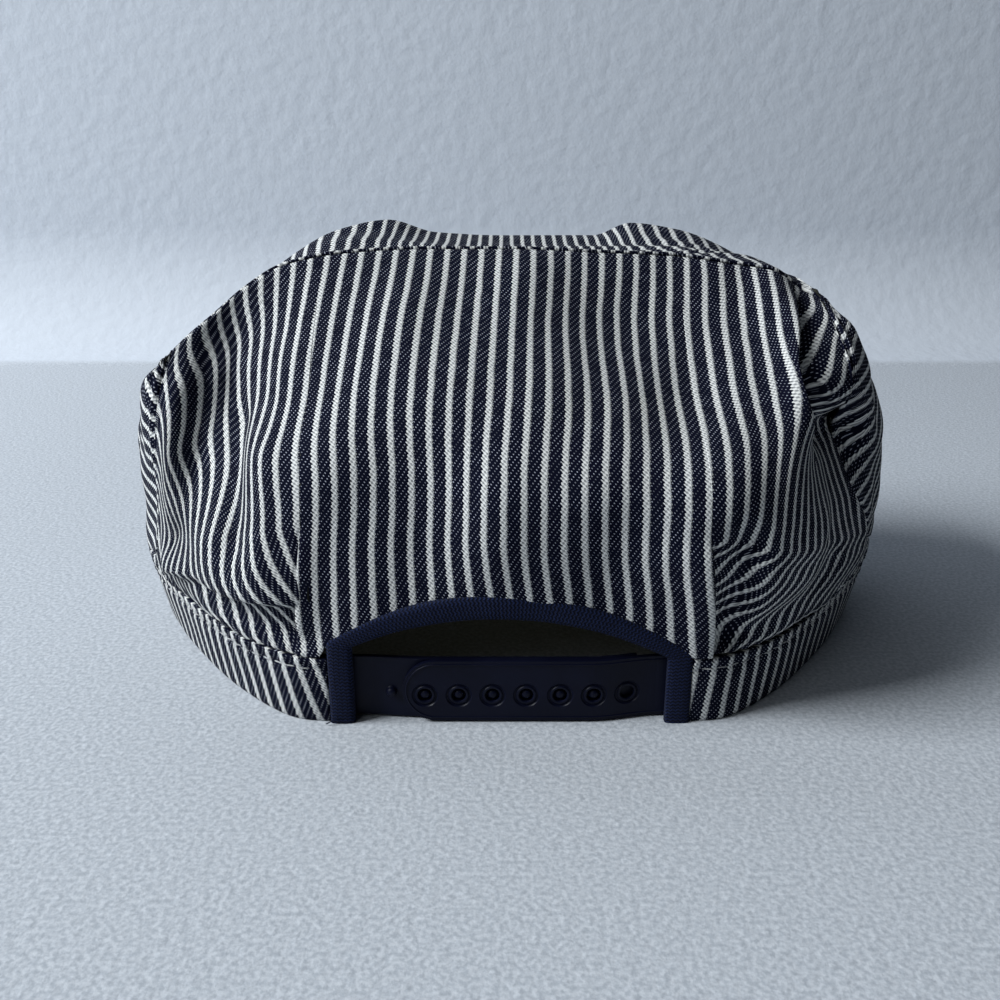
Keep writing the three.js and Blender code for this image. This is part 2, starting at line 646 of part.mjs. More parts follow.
// The visor is sewn to the lower edge of the band. Its ends lie on the table and its
// middle stands clear of it.
function visor() {
  const across = 32;
  const outwards = 6;
  const grid = (height) =>
    Array.from({ length: across + 1 }, (_, i) => {
      const side = -1 + (2 * i) / across;
      const at = side < 0 ? -HALF_BAND - side * VISOR_HALF : HALF_BAND - side * VISOR_HALF;
      const { point, outward, lift } = bandFrame(at);
      const ahead = new THREE.Vector3(outward.x * VISOR_SPLAY, outward.y, 0).normalize();
      const depth = VISOR_REACH * Math.sqrt(Math.max(1 - side ** 4, VISOR_END_ROUNDNESS));
      return Array.from({ length: outwards + 1 }, (_unused, j) => {
        const share = j / outwards;
        const place = point.clone().addScaledVector(ahead, 3 * SEAM_GAP + depth * share);
        const camber = VISOR_CAMBER * (1 - side ** 2);
        return place.setZ(THREE.MathUtils.lerp(lift, camber, share) + height);
      });
    });
  return slab(grid(VISOR_THICKNESS), grid(0), "walled");
}

const CLOTH_LOOK = { color: 0x5a6276, roughness: 0.95, metalness: 0 };
const TAPE_LOOK = { color: 0x1c2238, roughness: 0.95, metalness: 0 };
const PLASTIC_LOOK = { color: 0x191d33, roughness: 0.45, metalness: 0 };

function piece(name, geometry, look) {
  const mesh = new THREE.Mesh(geometry, new THREE.MeshStandardMaterial(look));
  mesh.name = name;
  return mesh;
}

const cap = new THREE.Group();
cap.add(piece("crown_side", crownSide(), CLOTH_LOOK));
cap.add(piece("crown_top", crownTop(), CLOTH_LOOK));
cap.add(piece("band", band(), CLOTH_LOOK));
cap.add(piece("opening_binding", openingBinding(), TAPE_LOOK));
cap.add(piece("strap_pegs", strapPegs(), PLASTIC_LOOK));
cap.add(piece("strap_holes", strapHoles(), PLASTIC_LOOK));
cap.add(piece("visor", visor(), CLOTH_LOOK));

// The origin is under the middle of the cap's bounding box.
const box = new THREE.Box3().setFromObject(cap);
const middle = box.getCenter(new THREE.Vector3());
cap.position.set(-middle.x, -middle.y, -box.min.z);

export default cap;
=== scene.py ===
"""Conductor cap of hickory-stripe twill, seen from behind, with its snap strap fastened.

The cloth is shaped from the same tables as the part's solids, on finer grids, and every
woven or moulded surface gets its own finish. Lengths are millimetres in the cap's own
frame until a mesh is made, and metres in Blender.
"""

import logging
import math
from collections.abc import Callable
from dataclasses import astuple, dataclass
from enum import Enum

import bmesh
import bpy
import numpy as np
from mathutils import Matrix, Vector


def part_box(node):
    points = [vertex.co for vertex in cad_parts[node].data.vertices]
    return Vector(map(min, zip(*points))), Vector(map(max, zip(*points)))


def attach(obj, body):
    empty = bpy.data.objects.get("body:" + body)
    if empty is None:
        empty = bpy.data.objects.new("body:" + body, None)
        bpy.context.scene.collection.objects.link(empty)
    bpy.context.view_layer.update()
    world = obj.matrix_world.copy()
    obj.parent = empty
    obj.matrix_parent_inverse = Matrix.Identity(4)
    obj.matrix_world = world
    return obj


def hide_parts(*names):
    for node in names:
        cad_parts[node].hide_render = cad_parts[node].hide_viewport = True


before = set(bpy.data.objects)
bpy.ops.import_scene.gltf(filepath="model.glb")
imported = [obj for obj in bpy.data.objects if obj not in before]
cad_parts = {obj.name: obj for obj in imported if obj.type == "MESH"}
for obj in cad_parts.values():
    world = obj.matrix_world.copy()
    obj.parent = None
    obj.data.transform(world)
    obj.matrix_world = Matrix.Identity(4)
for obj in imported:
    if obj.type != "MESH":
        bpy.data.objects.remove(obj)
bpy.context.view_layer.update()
LOG = logging.getLogger("cap")
MM = 0.001
BAND_HEIGHT = 18.0
# The lines over the crown have these levels at the rim and on the top's spine.
RIM_LEVEL = 6
SPINE_LEVEL = 9
# The tape stands this far out of the band's face.
BINDING_PROUD = 0.7
# The wall starts this far above the band's upper edge.
WALL_GAP = 0.34
# Vertices nearer than this are one.
WELD = 1e-3
# Edges that turn by more than this are rounded.
SHARP = math.radians(50)
# Too far from a seam for it to matter.
FAR = 99.0

Colour = tuple[float, float, float, float]
Socket = bpy.types.NodeSocket
Value = Socket | float | Colour


def cap_offset() -> np.ndarray:
    """Where the middle of the back's lower edge lies in the row frame, in millimetres."""
    low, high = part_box("opening_binding")
    return np.array([(low[0] + high[0]) / 2, low[1] + BINDING_PROUD * MM, 0.0]) / MM


def smoothstep(value: np.ndarray, low: float, high: float) -> np.ndarray:
    """Rises from 0 at low to 1 at high with level ends."""
    share = np.clip((value - low) / (high - low), 0.0, 1.0)
    return share * share * (3 - 2 * share)


def through_table(rows: np.ndarray, at: np.ndarray) -> np.ndarray:
    """Monotone cubic through the rows of a table.

    Args:
        rows: one row for each place, its first column the place.
        at: the places to read, of any shape.

    Returns:
        The columns at each place, along a new last axis.
    """
    keys = rows[:, 0]
    place = np.clip(at, keys[0], keys[-1])
    index = np.clip(np.searchsorted(keys, place, side="left") - 1, 0, len(keys) - 2)
    rise = np.diff(rows, axis=0) / np.diff(keys)[:, None]
    before, after = rise[:-1], rise[1:]
    product = before * after
    total = np.where(product > 0, before + after, 1.0)
    inner = np.where(product > 0, 2 * product / total, 0.0)
    slope = np.zeros_like(rows)
    slope[1:-1] = inner
    run = (keys[index + 1] - keys[index])[..., None]
    t = (place - keys[index])[..., None] / run
    return (
        rows[index] * (2 * t**3 - 3 * t**2 + 1)
        + slope[index] * run * (t**3 - 2 * t**2 + t)
        + rows[index + 1] * (3 * t**2 - 2 * t**3)
        + slope[index + 1] * run * (t**3 - t**2)
    )


def table(rows: tuple) -> np.ndarray:
    """The rows of a table of dataclasses as numbers."""
    return np.array([astuple(row) for row in rows], float)


def unit(vectors: np.ndarray) -> np.ndarray:
    """The vectors at length 1."""
    return vectors / np.maximum(np.linalg.norm(vectors, axis=-1, keepdims=True), 1e-9)


def side_sign(at: np.ndarray) -> np.ndarray:
    """-1 on the left, 1 elsewhere."""
    return np.where(at < 0, -1.0, 1.0)


def swell(away: np.ndarray, height: np.ndarray | float, width: np.ndarray | float) -> np.ndarray:
    """A rounded rise: its height at 0, falling off over its width to both sides."""
    return height * np.exp(-((away / width) ** 2))


def spline(points: list[np.ndarray], t: np.ndarray) -> np.ndarray:
    """Smooth way from the second to the third of four points as t goes from 0 to 1.

    Args:
        points: the four points.
        t: the share of the way.

    Returns:
        The places on the way.
    """
    a, b, c, d = points
    return 0.5 * (
        2 * b
        + (c - a) * t
        + (2 * a - 5 * b + 4 * c - d) * t**2
        + (3 * b - a - 3 * c + d) * t**3
    )


def running_total(steps: np.ndarray) -> np.ndarray:
    """The sum of the steps so far, from 0."""
    return np.concatenate([[0.0], np.cumsum(steps)])


def arc_lengths(places: np.ndarray, axis: int) -> np.ndarray:
    """Distance along one index of a grid, from its start.

    Args:
        places: the grid, of shape (along, up, 3).
        axis: the index to follow, 0 or 1.

    Returns:
        The distances, of shape (along, up).
    """
    steps = np.linalg.norm(np.diff(places, axis=axis), axis=-1)
    shape = list(places.shape[:2])
    shape[axis] = 1
    return np.concatenate([np.zeros(shape), np.cumsum(steps, axis=axis)], axis=axis)


def grid_normals(places: np.ndarray, wraps: bool = False) -> np.ndarray:
    """Unit normals of a grid of places, first index along, second index up.

    Args:
        places: the grid, of shape (along, up, 3).
        wraps: whether the last column meets the first.

    Returns:
        The normals, of the grid's shape.
    """
    if wraps:
        padded = np.concatenate([places[-2:-1], places, places[1:2]])
        along = padded[2:] - padded[:-2]
    else:
        along = np.gradient(places, axis=0)
    up = np.gradient(places, axis=1)
    return unit(np.cross(along, up))


class Side(Enum):
    """A side of the cap, as seen from behind."""

    LEFT = -1
    RIGHT = 1


@dataclass(frozen=True)
class PlanRow:
    """A place on the band's lower outer edge, right half, from the opening to the front.

    lean is how far the band leans out over its height, and lift how high it stands.
    """

    x: float
    y: float
    lean: float
    lift: float


@dataclass(frozen=True)
class Station:
    """The crown's outer form over one distance round the band.

    turn is the way in, 0 straight forward and 90 to the middle. in1 to in5 are insets at
    five heights, rim_in and rim_up the rim's. puff is the rise of the top over a straight
    line to its spine, and crisp how sharply the form turns at the rim.
    """

    at: float
    turn: float
    in1: float
    in2: float
    in3: float
    in4: float
    in5: float
    rim_in: float
    rim_up: float
    puff: float
    crisp: float


# Where the columns of a table of stations stand.
TURN = 1
INSETS = slice(2, 8)
RIM_UP = slice(8, 9)
PUFF = 9
CRISP = slice(10, 11)


@dataclass(frozen=True)
class SpineRow:
    """The height of the top's spine at one place across the cap."""

    at: float
    height: float


@dataclass(frozen=True)
class Fold:
    """A crease or a swelling along a straight line between two places of the crown.

    Distances round the band and levels give its two ends. depth is how far in it goes,
    negative for a swelling, and above and below are its half widths on the upper side of
    the line, going outwards along it, and on the lower side.
    """

    side: Side
    at: float
    level: float
    to_at: float
    to_level: float
    above: float
    below: float
    depth: float


@dataclass(frozen=True)
class SeamRow:
    """The level of the seam between the wall and the top, at one distance."""

    at: float
    level: float


@dataclass(frozen=True)
class PleatRow:
    """A pleat at one level.

    at is its distance round the band, under how far the cloth goes back beneath the upper
    layer, hidden the width of cloth that it hides, proud the rise of the upper layer's
    edge, and deep how deep the lower layer lies beside it.
    """

    level: float
    at: float
    under: float
    hidden: float
    proud: float
    deep: float


@dataclass(frozen=True)
class Pleat:
    """Cloth folded under along a line up the wall, the middle of the back on top.

    column is where the grid's columns gather for it, and before and after how far they
    are moved on either side. recover is the width over which the lower layer comes up
    again, near and far where the hidden width starts and ends fading, and squat the
    distance over which its height falls to a half.
    """

    side: Side
    column: float
    before: float
    after: float
    recover: float
    near: float
    far: float
    squat: float
    rows: tuple[PleatRow, ...]


@dataclass(frozen=True)
class LeanRow:
    """How far the middle stripe lies to the left of the middle, at one level."""

    level: float
    left: float


@dataclass(frozen=True)
class SlackRow:
    """Cloth over and above the form's own width out to one distance, at levels 0 to 6."""

    at: float
    at_band: float
    level1: float
    level2: float
    level3: float
    level4: float
    level5: float
    at_rim: float


BAND_PLAN = (
    PlanRow(0, 0, 0, 0),
    PlanRow(24, 0, 0, 0),
    PlanRow(46, 0, 0, 0),
    PlanRow(54, 1.5, 0.3, 0),
    PlanRow(62, 6.5, 0.8, 0),
    PlanRow(71, 14.5, 1.4, 0),
    PlanRow(81, 26, 2, 0),
    PlanRow(90, 38, 2.6, 0),
    PlanRow(98, 50, 3.2, 0),
    PlanRow(105, 63, 3.8, 0),
    PlanRow(108.5, 77, 4, 0),
    PlanRow(108, 90, 4, 0.3),
    PlanRow(101, 104, 3, 1),
    PlanRow(88, 115, 2, 2),
    PlanRow(68, 124, 1, 3.2),
    PlanRow(38, 130, 0.5, 4.4),
    PlanRow(0, 132, 0.5, 5),
)

# Columns: at, turn, in1 to in5, rim_in, rim_up, puff, crisp
LEFT_STATIONS = (
    Station(0, 0, 0, -2, 1, 13, 35, 60, 112, -1.5, 1),
    Station(24, 0, 1, 4, 8, 16, 35, 60, 112, -1.5, 1),
    Station(46, 0, 2, 5, 9, 22, 40, 59, 111, -1, 1),
    Station(62, 0, 0, 4, 11, 27, 42, 54, 108, -1.5, 1),
    Station(78, 2, -2, 2, 12, 28, 37, 42, 102, -4, 1),
    Station(92, 5, -3, 1, 9, 16, 24, 28, 95, -6, 1),
    Station(106, 12, -4, -3, -3, -1, 5, 14, 88, -5, 1),
    Station(118, 35, -2, -1, 0, -1, -1, 1, 79, -3, 0.8),
    Station(130, 60, -1, 0, 0, 1, 1, 3, 75, 1, 0),
    Station(145, 80, -1, 0, 0, 1, 4, 9, 72, 2, 0),
    Station(163, 98, -2, -5, -6, -5, 0, 8, 74, 2, 0),
    Station(182, 125, -2, -4, -4, -2, 2, 9, 86, 1, 0),
    Station(205, 150, -2, -3, -2, 1, 6, 12, 101, 0, 1),
    Station(228, 166, -2, -3, -1, 3, 9, 15, 112, -1, 1),
    Station(246, 173, -2, -3, -1, 3, 9, 16, 115, -2, 1),
    Station(262, 177, -2, -3, -1, 3, 9, 17, 111, -1, 1),
    Station(285, 180, -2, -3, 0, 4, 10, 18, 110, -1, 1),
)
RIGHT_STATIONS = (
    Station(0, 0, 0, -2, 1, 13, 35, 60, 112, -1.5, 1),
    Station(24, 0, 0, -2, -1, 17, 43, 61, 111, -1.5, 1),
    Station(46, 0, -2, -5, -1, 24, 46, 62, 110, -1, 1),
    Station(62, 0, -4, -7, -2, 16, 39, 56, 108, 0, 1),
    Station(78, 2, -5, -9, -6, 5, 22, 44, 106.5, 1, 1),
    Station(92, 4, -4, -4, 2, 4, 10, 34, 101, 2, 1),
    Station(104, 12, -4, -3, 3, 2, 3, 20, 98, 2, 0.8),
    Station(116, 42, -3, -3, -2, -1, 1, 8, 92, 2, 0),
    Station(130, 62, -1, -1, -1, 0, 3, 7, 82, 2, 0),
    Station(145, 80, -2, -2, -2, -1, 2, 8, 80, 2, 0),
    Station(163, 98, -3, -5, -5, -3, 1, 9, 80, 2, 0),
    Station(182, 125, -2, -4, -4, -2, 2, 9, 90, 1, 0),
    Station(205, 150, -2, -3, -2, 1, 6, 12, 104, 0, 1),
    Station(228, 166, -2, -3, -1, 3, 9, 15, 112, -1, 1),
    Station(245, 173, -2, -3, -1, 3, 9, 16, 114, -2, 1),
    Station(258, 177, -2, -3, -1, 3, 9, 17, 110, -1, 1),
    Station(285, 180, -2, -3, 0, 4, 10, 18, 110, -1, 1),
)
# How high each level stands between the band and the rim, and a level's usual rise.
LEVEL_SHARES = (0.0, 0.13, 0.34, 0.51, 0.66, 0.82, 1.0)
LEVEL_RISE = 15.0
# The spine runs across the top between the ends of two stations.
SPINE_Y = 88.0
SPINE_HALF = 86.0
SPINE_STATION = 153.0
SPINE = (
    SpineRow(-86, 86),
    SpineRow(-70, 96),
    SpineRow(-50, 105),
    SpineRow(-25, 108),
    SpineRow(0, 106.5),
    SpineRow(25, 107.5),
    SpineRow(50, 108),
    SpineRow(70, 104),
    SpineRow(86, 94),
)

# The level from which creases have their whole depth.
FOLDS_FROM = 0.6
# The solids' own creases.
FOLDS = (
    Fold(Side.LEFT, 54, 0.2, 100, 1.6, 6, 6, 4),
    Fold(Side.RIGHT, 84, 3.2, 106, 3.6, 9, 9, 7),
    Fold(Side.RIGHT, 54, 0.2, 56, 2, 5, 5, 4),
)
# Finer ones in the loose cloth beside the pleats.
LOOSE_FOLDS = (
    Fold(Side.LEFT, 53, 1.15, 104, 1.05, 9, 1.4, -3.6),
    Fold(Side.LEFT, 73, 1.8, 75, 3.6, 4.4, 4.4, 2.2),
    Fold(Side.LEFT, 62, 1.6, 61, 3, 5, 5, -1.8),
    Fold(Side.LEFT, 60, 4.4, 100, 4.9, 7, 6, -1.2),
    Fold(Side.RIGHT, 52, 1.5, 84, 2, 6, 4, -0.9),
    Fold(Side.RIGHT, 60, 0.5, 96, 1.3, 4, 4, 1.5),
    Fold(Side.RIGHT, 90, 3.5, 103, 3.7, 5, 4, 3.5),
)
LEFT_SEAM = (
    SeamRow(108.5, 6),
    SeamRow(110.5, 5.2),
    SeamRow(112, 3.8),
    SeamRow(114, 2.4),
    SeamRow(118, 1.3),
    SeamRow(126, 0.8),
    SeamRow(145, 0.6),
    SeamRow(163, 0.6),
    SeamRow(182, 4),
    SeamRow(205, 6),
)
RIGHT_SEAM = (
    SeamRow(99, 6),
    SeamRow(101.5, 5),
    SeamRow(103, 3.8),
    SeamRow(105, 2.8),
    SeamRow(109, 2.2),
    SeamRow(115, 1.8),
    SeamRow(121, 1.4),
    SeamRow(130, 1.1),
    SeamRow(145, 0.6),
    SeamRow(163, 0.6),
    SeamRow(182, 4),
    SeamRow(205, 6),
)
# Columns: level, at, under, hidden, proud, deep
PLEATS = (
    Pleat(
        Side.LEFT, 52, 30, 30, 9, 10, 90, 200,
        (
            PleatRow(0, 52.8, 3.5, 19, 0.6, 1.2),
            PleatRow(0.5, 52.8, 3.6, 15.5, 0.8, 1.8),
            PleatRow(1.05, 52.4, 3.4, 11, 0.9, 2),
            PleatRow(1.5, 51.8, 2.4, 5, 0.9, 1.6),
            PleatRow(1.8, 51.3, 0.7, 2, 0.6, 0.9),
            PleatRow(2.15, 50.8, 0.2, 0, 0, 0),
        ),
    ),
    Pleat(
        Side.RIGHT, 48.5, 28, 15, 10, 50, 130, 150,
        (
            PleatRow(0, 50, 4, 37.5, 0.8, 1.4),
            PleatRow(0.4, 49.7, 5, 33, 1.4, 2.6),
            PleatRow(0.9, 49, 5, 28, 1.8, 3.4),
            PleatRow(1.3, 48.3, 5, 19, 1.8, 3.4),
            PleatRow(1.6, 47.5, 4, 12, 1.4, 2.6),
            PleatRow(1.85, 47, 3, 8, 1, 1.6),
            PleatRow(2.2, 46.2, 0.2, 0, 0, 0),
        ),
    ),
    Pleat(
        Side.RIGHT, 80, 16, 16, 9, 1, 34, 500,
        (
            PleatRow(2.9, 83, 0.2, 0, 0, 0),
            PleatRow(3.2, 82, 0.4, 3, 0.2, 0.4),
            PleatRow(3.6, 80, 3, 12, 0.8, 2),
            PleatRow(3.9, 78, 5, 26, 1.4, 4.5),
            PleatRow(4.2, 76.8, 5, 23, 1.6, 5),
            PleatRow(4.5, 77, 5, 17, 1.6, 4.5),
            PleatRow(5, 80, 4, 10, 1.4, 3.2),
            PleatRow(5.5, 83.5, 3, 5, 1, 2),
            PleatRow(5.95, 86, 0.2, 0, 0, 0),
        ),
    ),
)
MIDDLE_LEAN = (
    LeanRow(0, -0.6),
    LeanRow(1, -0.2),
    LeanRow(2, 1.7),
    LeanRow(3, 1.6),
    LeanRow(4, 0.5),
    LeanRow(5, -0.6),
    LeanRow(6, -1.8),
)
LEFT_SLACK = (
    SlackRow(0, 0, 0, 0, 0, 0, 0, 0),
    SlackRow(46, -0.5, -1, 0.5, 0.4, -1.2, -0.6, 0.6),
    SlackRow(58, 0, 0, 1, -1, -1.4, -0.6, 0.4),
    SlackRow(66, 0, 1, 2.5, 0.3, -0.6, 0.2, 0),
    SlackRow(74, 2, 2, 5, 4.6, -1, 0.8, -0.6),
    SlackRow(80, 2, 3, 6, 4, -2, 0.9, -0.8),
    SlackRow(92, 2, 4, 6.5, 1.8, -1, 1.5, -1),
    SlackRow(98, 4, 7, 10, 2.5, -1.2, 0, -1.6),
    SlackRow(104, 8, 13, 17, 6, -1, -0.6, -1.6),
    SlackRow(109, 12, 18, 22, 13, 2, 0, -1),
    SlackRow(130, 12, 18, 20, 14, 4, 0, 0),
    SlackRow(180, 0, 0, 0, 0, 0, 0, 0),
)
RIGHT_SLACK = (
    SlackRow(0, 0, 0, 0, 0, 0, 0, 0),
    SlackRow(24, 0, -0.5, -0.3, 0, -0.7, -0.8, 0),
    SlackRow(36, -1.2, -0.8, -0.4, -0.3, -1, -1, 0),
    SlackRow(46, -2.4, -1.2, -0.4, -0.5, -1.6, -1.1, 0.2),
    SlackRow(62, 0, 0, 1.5, -0.4, -2.2, -1.9, 0.2),
    SlackRow(68, 0, 1, 4, 1.5, -2.4, -2.5, 0.5),
    SlackRow(76, 0, 3, 9, 6, -2.4, -2.8, 0.8),
    SlackRow(82, 0, 4, 11, 9.5, 0, -2, 1),
    SlackRow(92, 0, 4, 10, 10.5, 2, 0, 1),
    SlackRow(104, 0, 5, 10, 12, 5, 4, 3),
    SlackRow(130, 0, 4, 8, 8, 5, 4, 3),
    SlackRow(180, 0, 0, 0, 0, 0, 0, 0),
)


@dataclass(frozen=True)
class Hang:
    """Where the top turns down over one side, and how its stripes run there.

    cloth is the cloth's distance from the middle at the edge's height and at the distance
    out called base. rise is how much the stripes climb on their way out, below the drop
    called bend, and gain how much cloth more there is in front. The pairs say where a
    change starts and is whole: front for the gain, by the way forward, below and beyond
    for the hanging cloth, by the drop and by the way out.
    """

    side: Side
    edge_height: float
    cloth: float
    rise: float
    gain: float
    base: float = 90
    bend: float = 14
    front: tuple[float, float] = (55, 110)
    below: tuple[float, float] = (-2, 5)
    beyond: tuple[float, float] = (76, 86)

    def laid(self, places: np.ndarray, cloth: np.ndarray) -> np.ndarray:
        """The distance across the stripes, changed where the top hangs down.

        Args:
            places: the top's grid.
            cloth: the distance across at each place, as laid flat.

        Returns:
            The changed distances.
        """
        out = places[..., 0] * self.side.value
        drop = self.edge_height - places[..., 2]
        rise = self.rise + (1 - self.rise) * (1 - smoothstep(drop, 0, self.bend))
        gain = self.gain * smoothstep(places[..., 1], *self.front)
        level = self.cloth + drop + rise * (out - self.base) + gain
        share = smoothstep(drop, *self.below) * smoothstep(out, *self.beyond)
        return cloth + (self.side.value * level - cloth) * share


HANGS = (Hang(Side.LEFT, 84, 100, 0.35, 9.5), Hang(Side.RIGHT, 95, 100, 0.65, 8.0))


@dataclass(frozen=True)
class SeamTuck:
    """How a sewn edge turns in: the ditch and puckers beside it, the turning behind it."""

    ditch: float
    reach: float
    turning: float
    pucker: float
    pucker_pitch: float
    pucker_reach: float


# Columns: ditch, reach, turning, pucker, pucker_pitch, pucker_reach
TOP_TUCK = SeamTuck(0.15, 0.6, 1.1, 0.0, 7.3, 6.0)
BAND_TUCK = SeamTuck(0.35, 0.9, 0.0, 0.28, 4.7, 4.0)


@dataclass(frozen=True)
class Arch:
    """An edge of the tape round the opening, a little lower on the right.

    half is its half width, spring its height at the feet of the arch and top in the
    middle. tilt is how much lower it is on the right, and power how flat the top is.
    """

    half: float
    spring: float
    top: float
    tilt: float = 1.5
    power: float = 2.1

    def height(self, x: np.ndarray) -> np.ndarray:
        """Its height across the back.

        Args:
            x: places across the back.

        Returns:
            The heights.
        """
        share = np.minimum(np.abs(x) / self.half, 1)
        drop = (self.top - self.spring) * share**self.power
        return self.top - self.tilt * x / self.half - drop


OUTER_ARCH = Arch(45.5, 21.0, 35.3)
INNER_ARCH = Arch(39.2, 19.8, 28.9)

# The columns gathered at a pleat, by their distance from it, and the share that each has
# of the pleat's reach under, of its rise or depth, and of its hidden cloth.
PLEAT_STEPS = (0.0, 0.12, 0.24, 0.36, 0.48)
REACH_STEPS = (0.0, 0.08, -0.94, -1.0, 0.04)
RISE_STEPS = (1.0, 0.45, -0.7, -1.05, -1.0)
TAKEN_STEPS = (0.0, 0.0, 0.45, 0.55, 1.0)


class BandPlan:
    """The closed outline of the head band, read by the distance round it."""

    STEPS = 80

    def __init__(self) -> None:
        """Samples the smooth loop through the plan's rows and their mirror images."""
        right = [(row.x, row.y) for row in BAND_PLAN]
        left = [(-x, y) for x, y in reversed(right[1:-1])]
        corners = np.array(right + left)
        t = np.arange(self.STEPS)[:, None] / self.STEPS
        pieces = []
        for n in range(len(corners)):
            p0, p1, p2, p3 = (corners[(n + k) % len(corners)] for k in (-1, 0, 1, 2))
            d0, d1, d2 = (
                math.sqrt(math.dist(a, b)) for a, b in ((p0, p1), (p1, p2), (p2, p3))
            )
            t1 = ((p1 - p0) / d0 - (p2 - p0) / (d0 + d1) + (p2 - p1) / d1) * d1
            t2 = ((p2 - p1) / d1 - (p3 - p1) / (d1 + d2) + (p3 - p2) / d2) * d1
            cubic = 2 * p1 - 2 * p2 + t1 + t2
            square = 3 * p2 - 3 * p1 - 2 * t1 - t2
            pieces.append(p1 + t1 * t + square * t**2 + cubic * t**3)
        self.loop = np.concatenate([*pieces, corners[:1]])
        self.lengths = running_total(np.linalg.norm(np.diff(self.loop, axis=0), axis=1))
        at = self.lengths[:: self.STEPS]
        self.half = float(at[len(BAND_PLAN) - 1])
        self.rows = np.array([[at[n], row.lean, row.lift] for n, row in enumerate(BAND_PLAN)])

    def loop_point(self, at: np.ndarray) -> np.ndarray:
        """The plan's point at a signed distance.

        Args:
            at: signed distance round the band.

        Returns:
            Its x and y, along a new last axis.
        """
        place = np.mod(at, 2 * self.half)
        columns = [np.interp(place, self.lengths, self.loop[:, k]) for k in (0, 1)]
        return np.stack(columns, axis=-1)

    def outward(self, at: np.ndarray) -> np.ndarray:
        """The level unit vector that points out of the cap.

        Args:
            at: signed distance round the band.

        Returns:
            Its x and y, along a new last axis.
        """
        reach = 0.6
        along = unit(self.loop_point(at + reach) - self.loop_point(at - reach))
        return np.stack([along[..., 1], -along[..., 0]], axis=-1)

    def place(self, at: np.ndarray, height: np.ndarray, depth: np.ndarray) -> np.ndarray:
        """A place on the band.

        Args:
            at: signed distance round it.
            height: height above its lower edge, up to BAND_HEIGHT.
            depth: depth under its outer face.

        Returns:
            The place, along a new last axis.
        """
        at, height, depth = np.broadcast_arrays(at, height, depth)
        edge = through_table(self.rows, np.abs(at))
        out = edge[..., 1] * height / BAND_HEIGHT - depth
        flat = self.loop_point(at) + self.outward(at) * out[..., None]
        lift = edge[..., 2]
        up = lift + height * (BAND_HEIGHT - lift) / BAND_HEIGHT
        return np.concatenate([flat, up[..., None]], axis=-1)


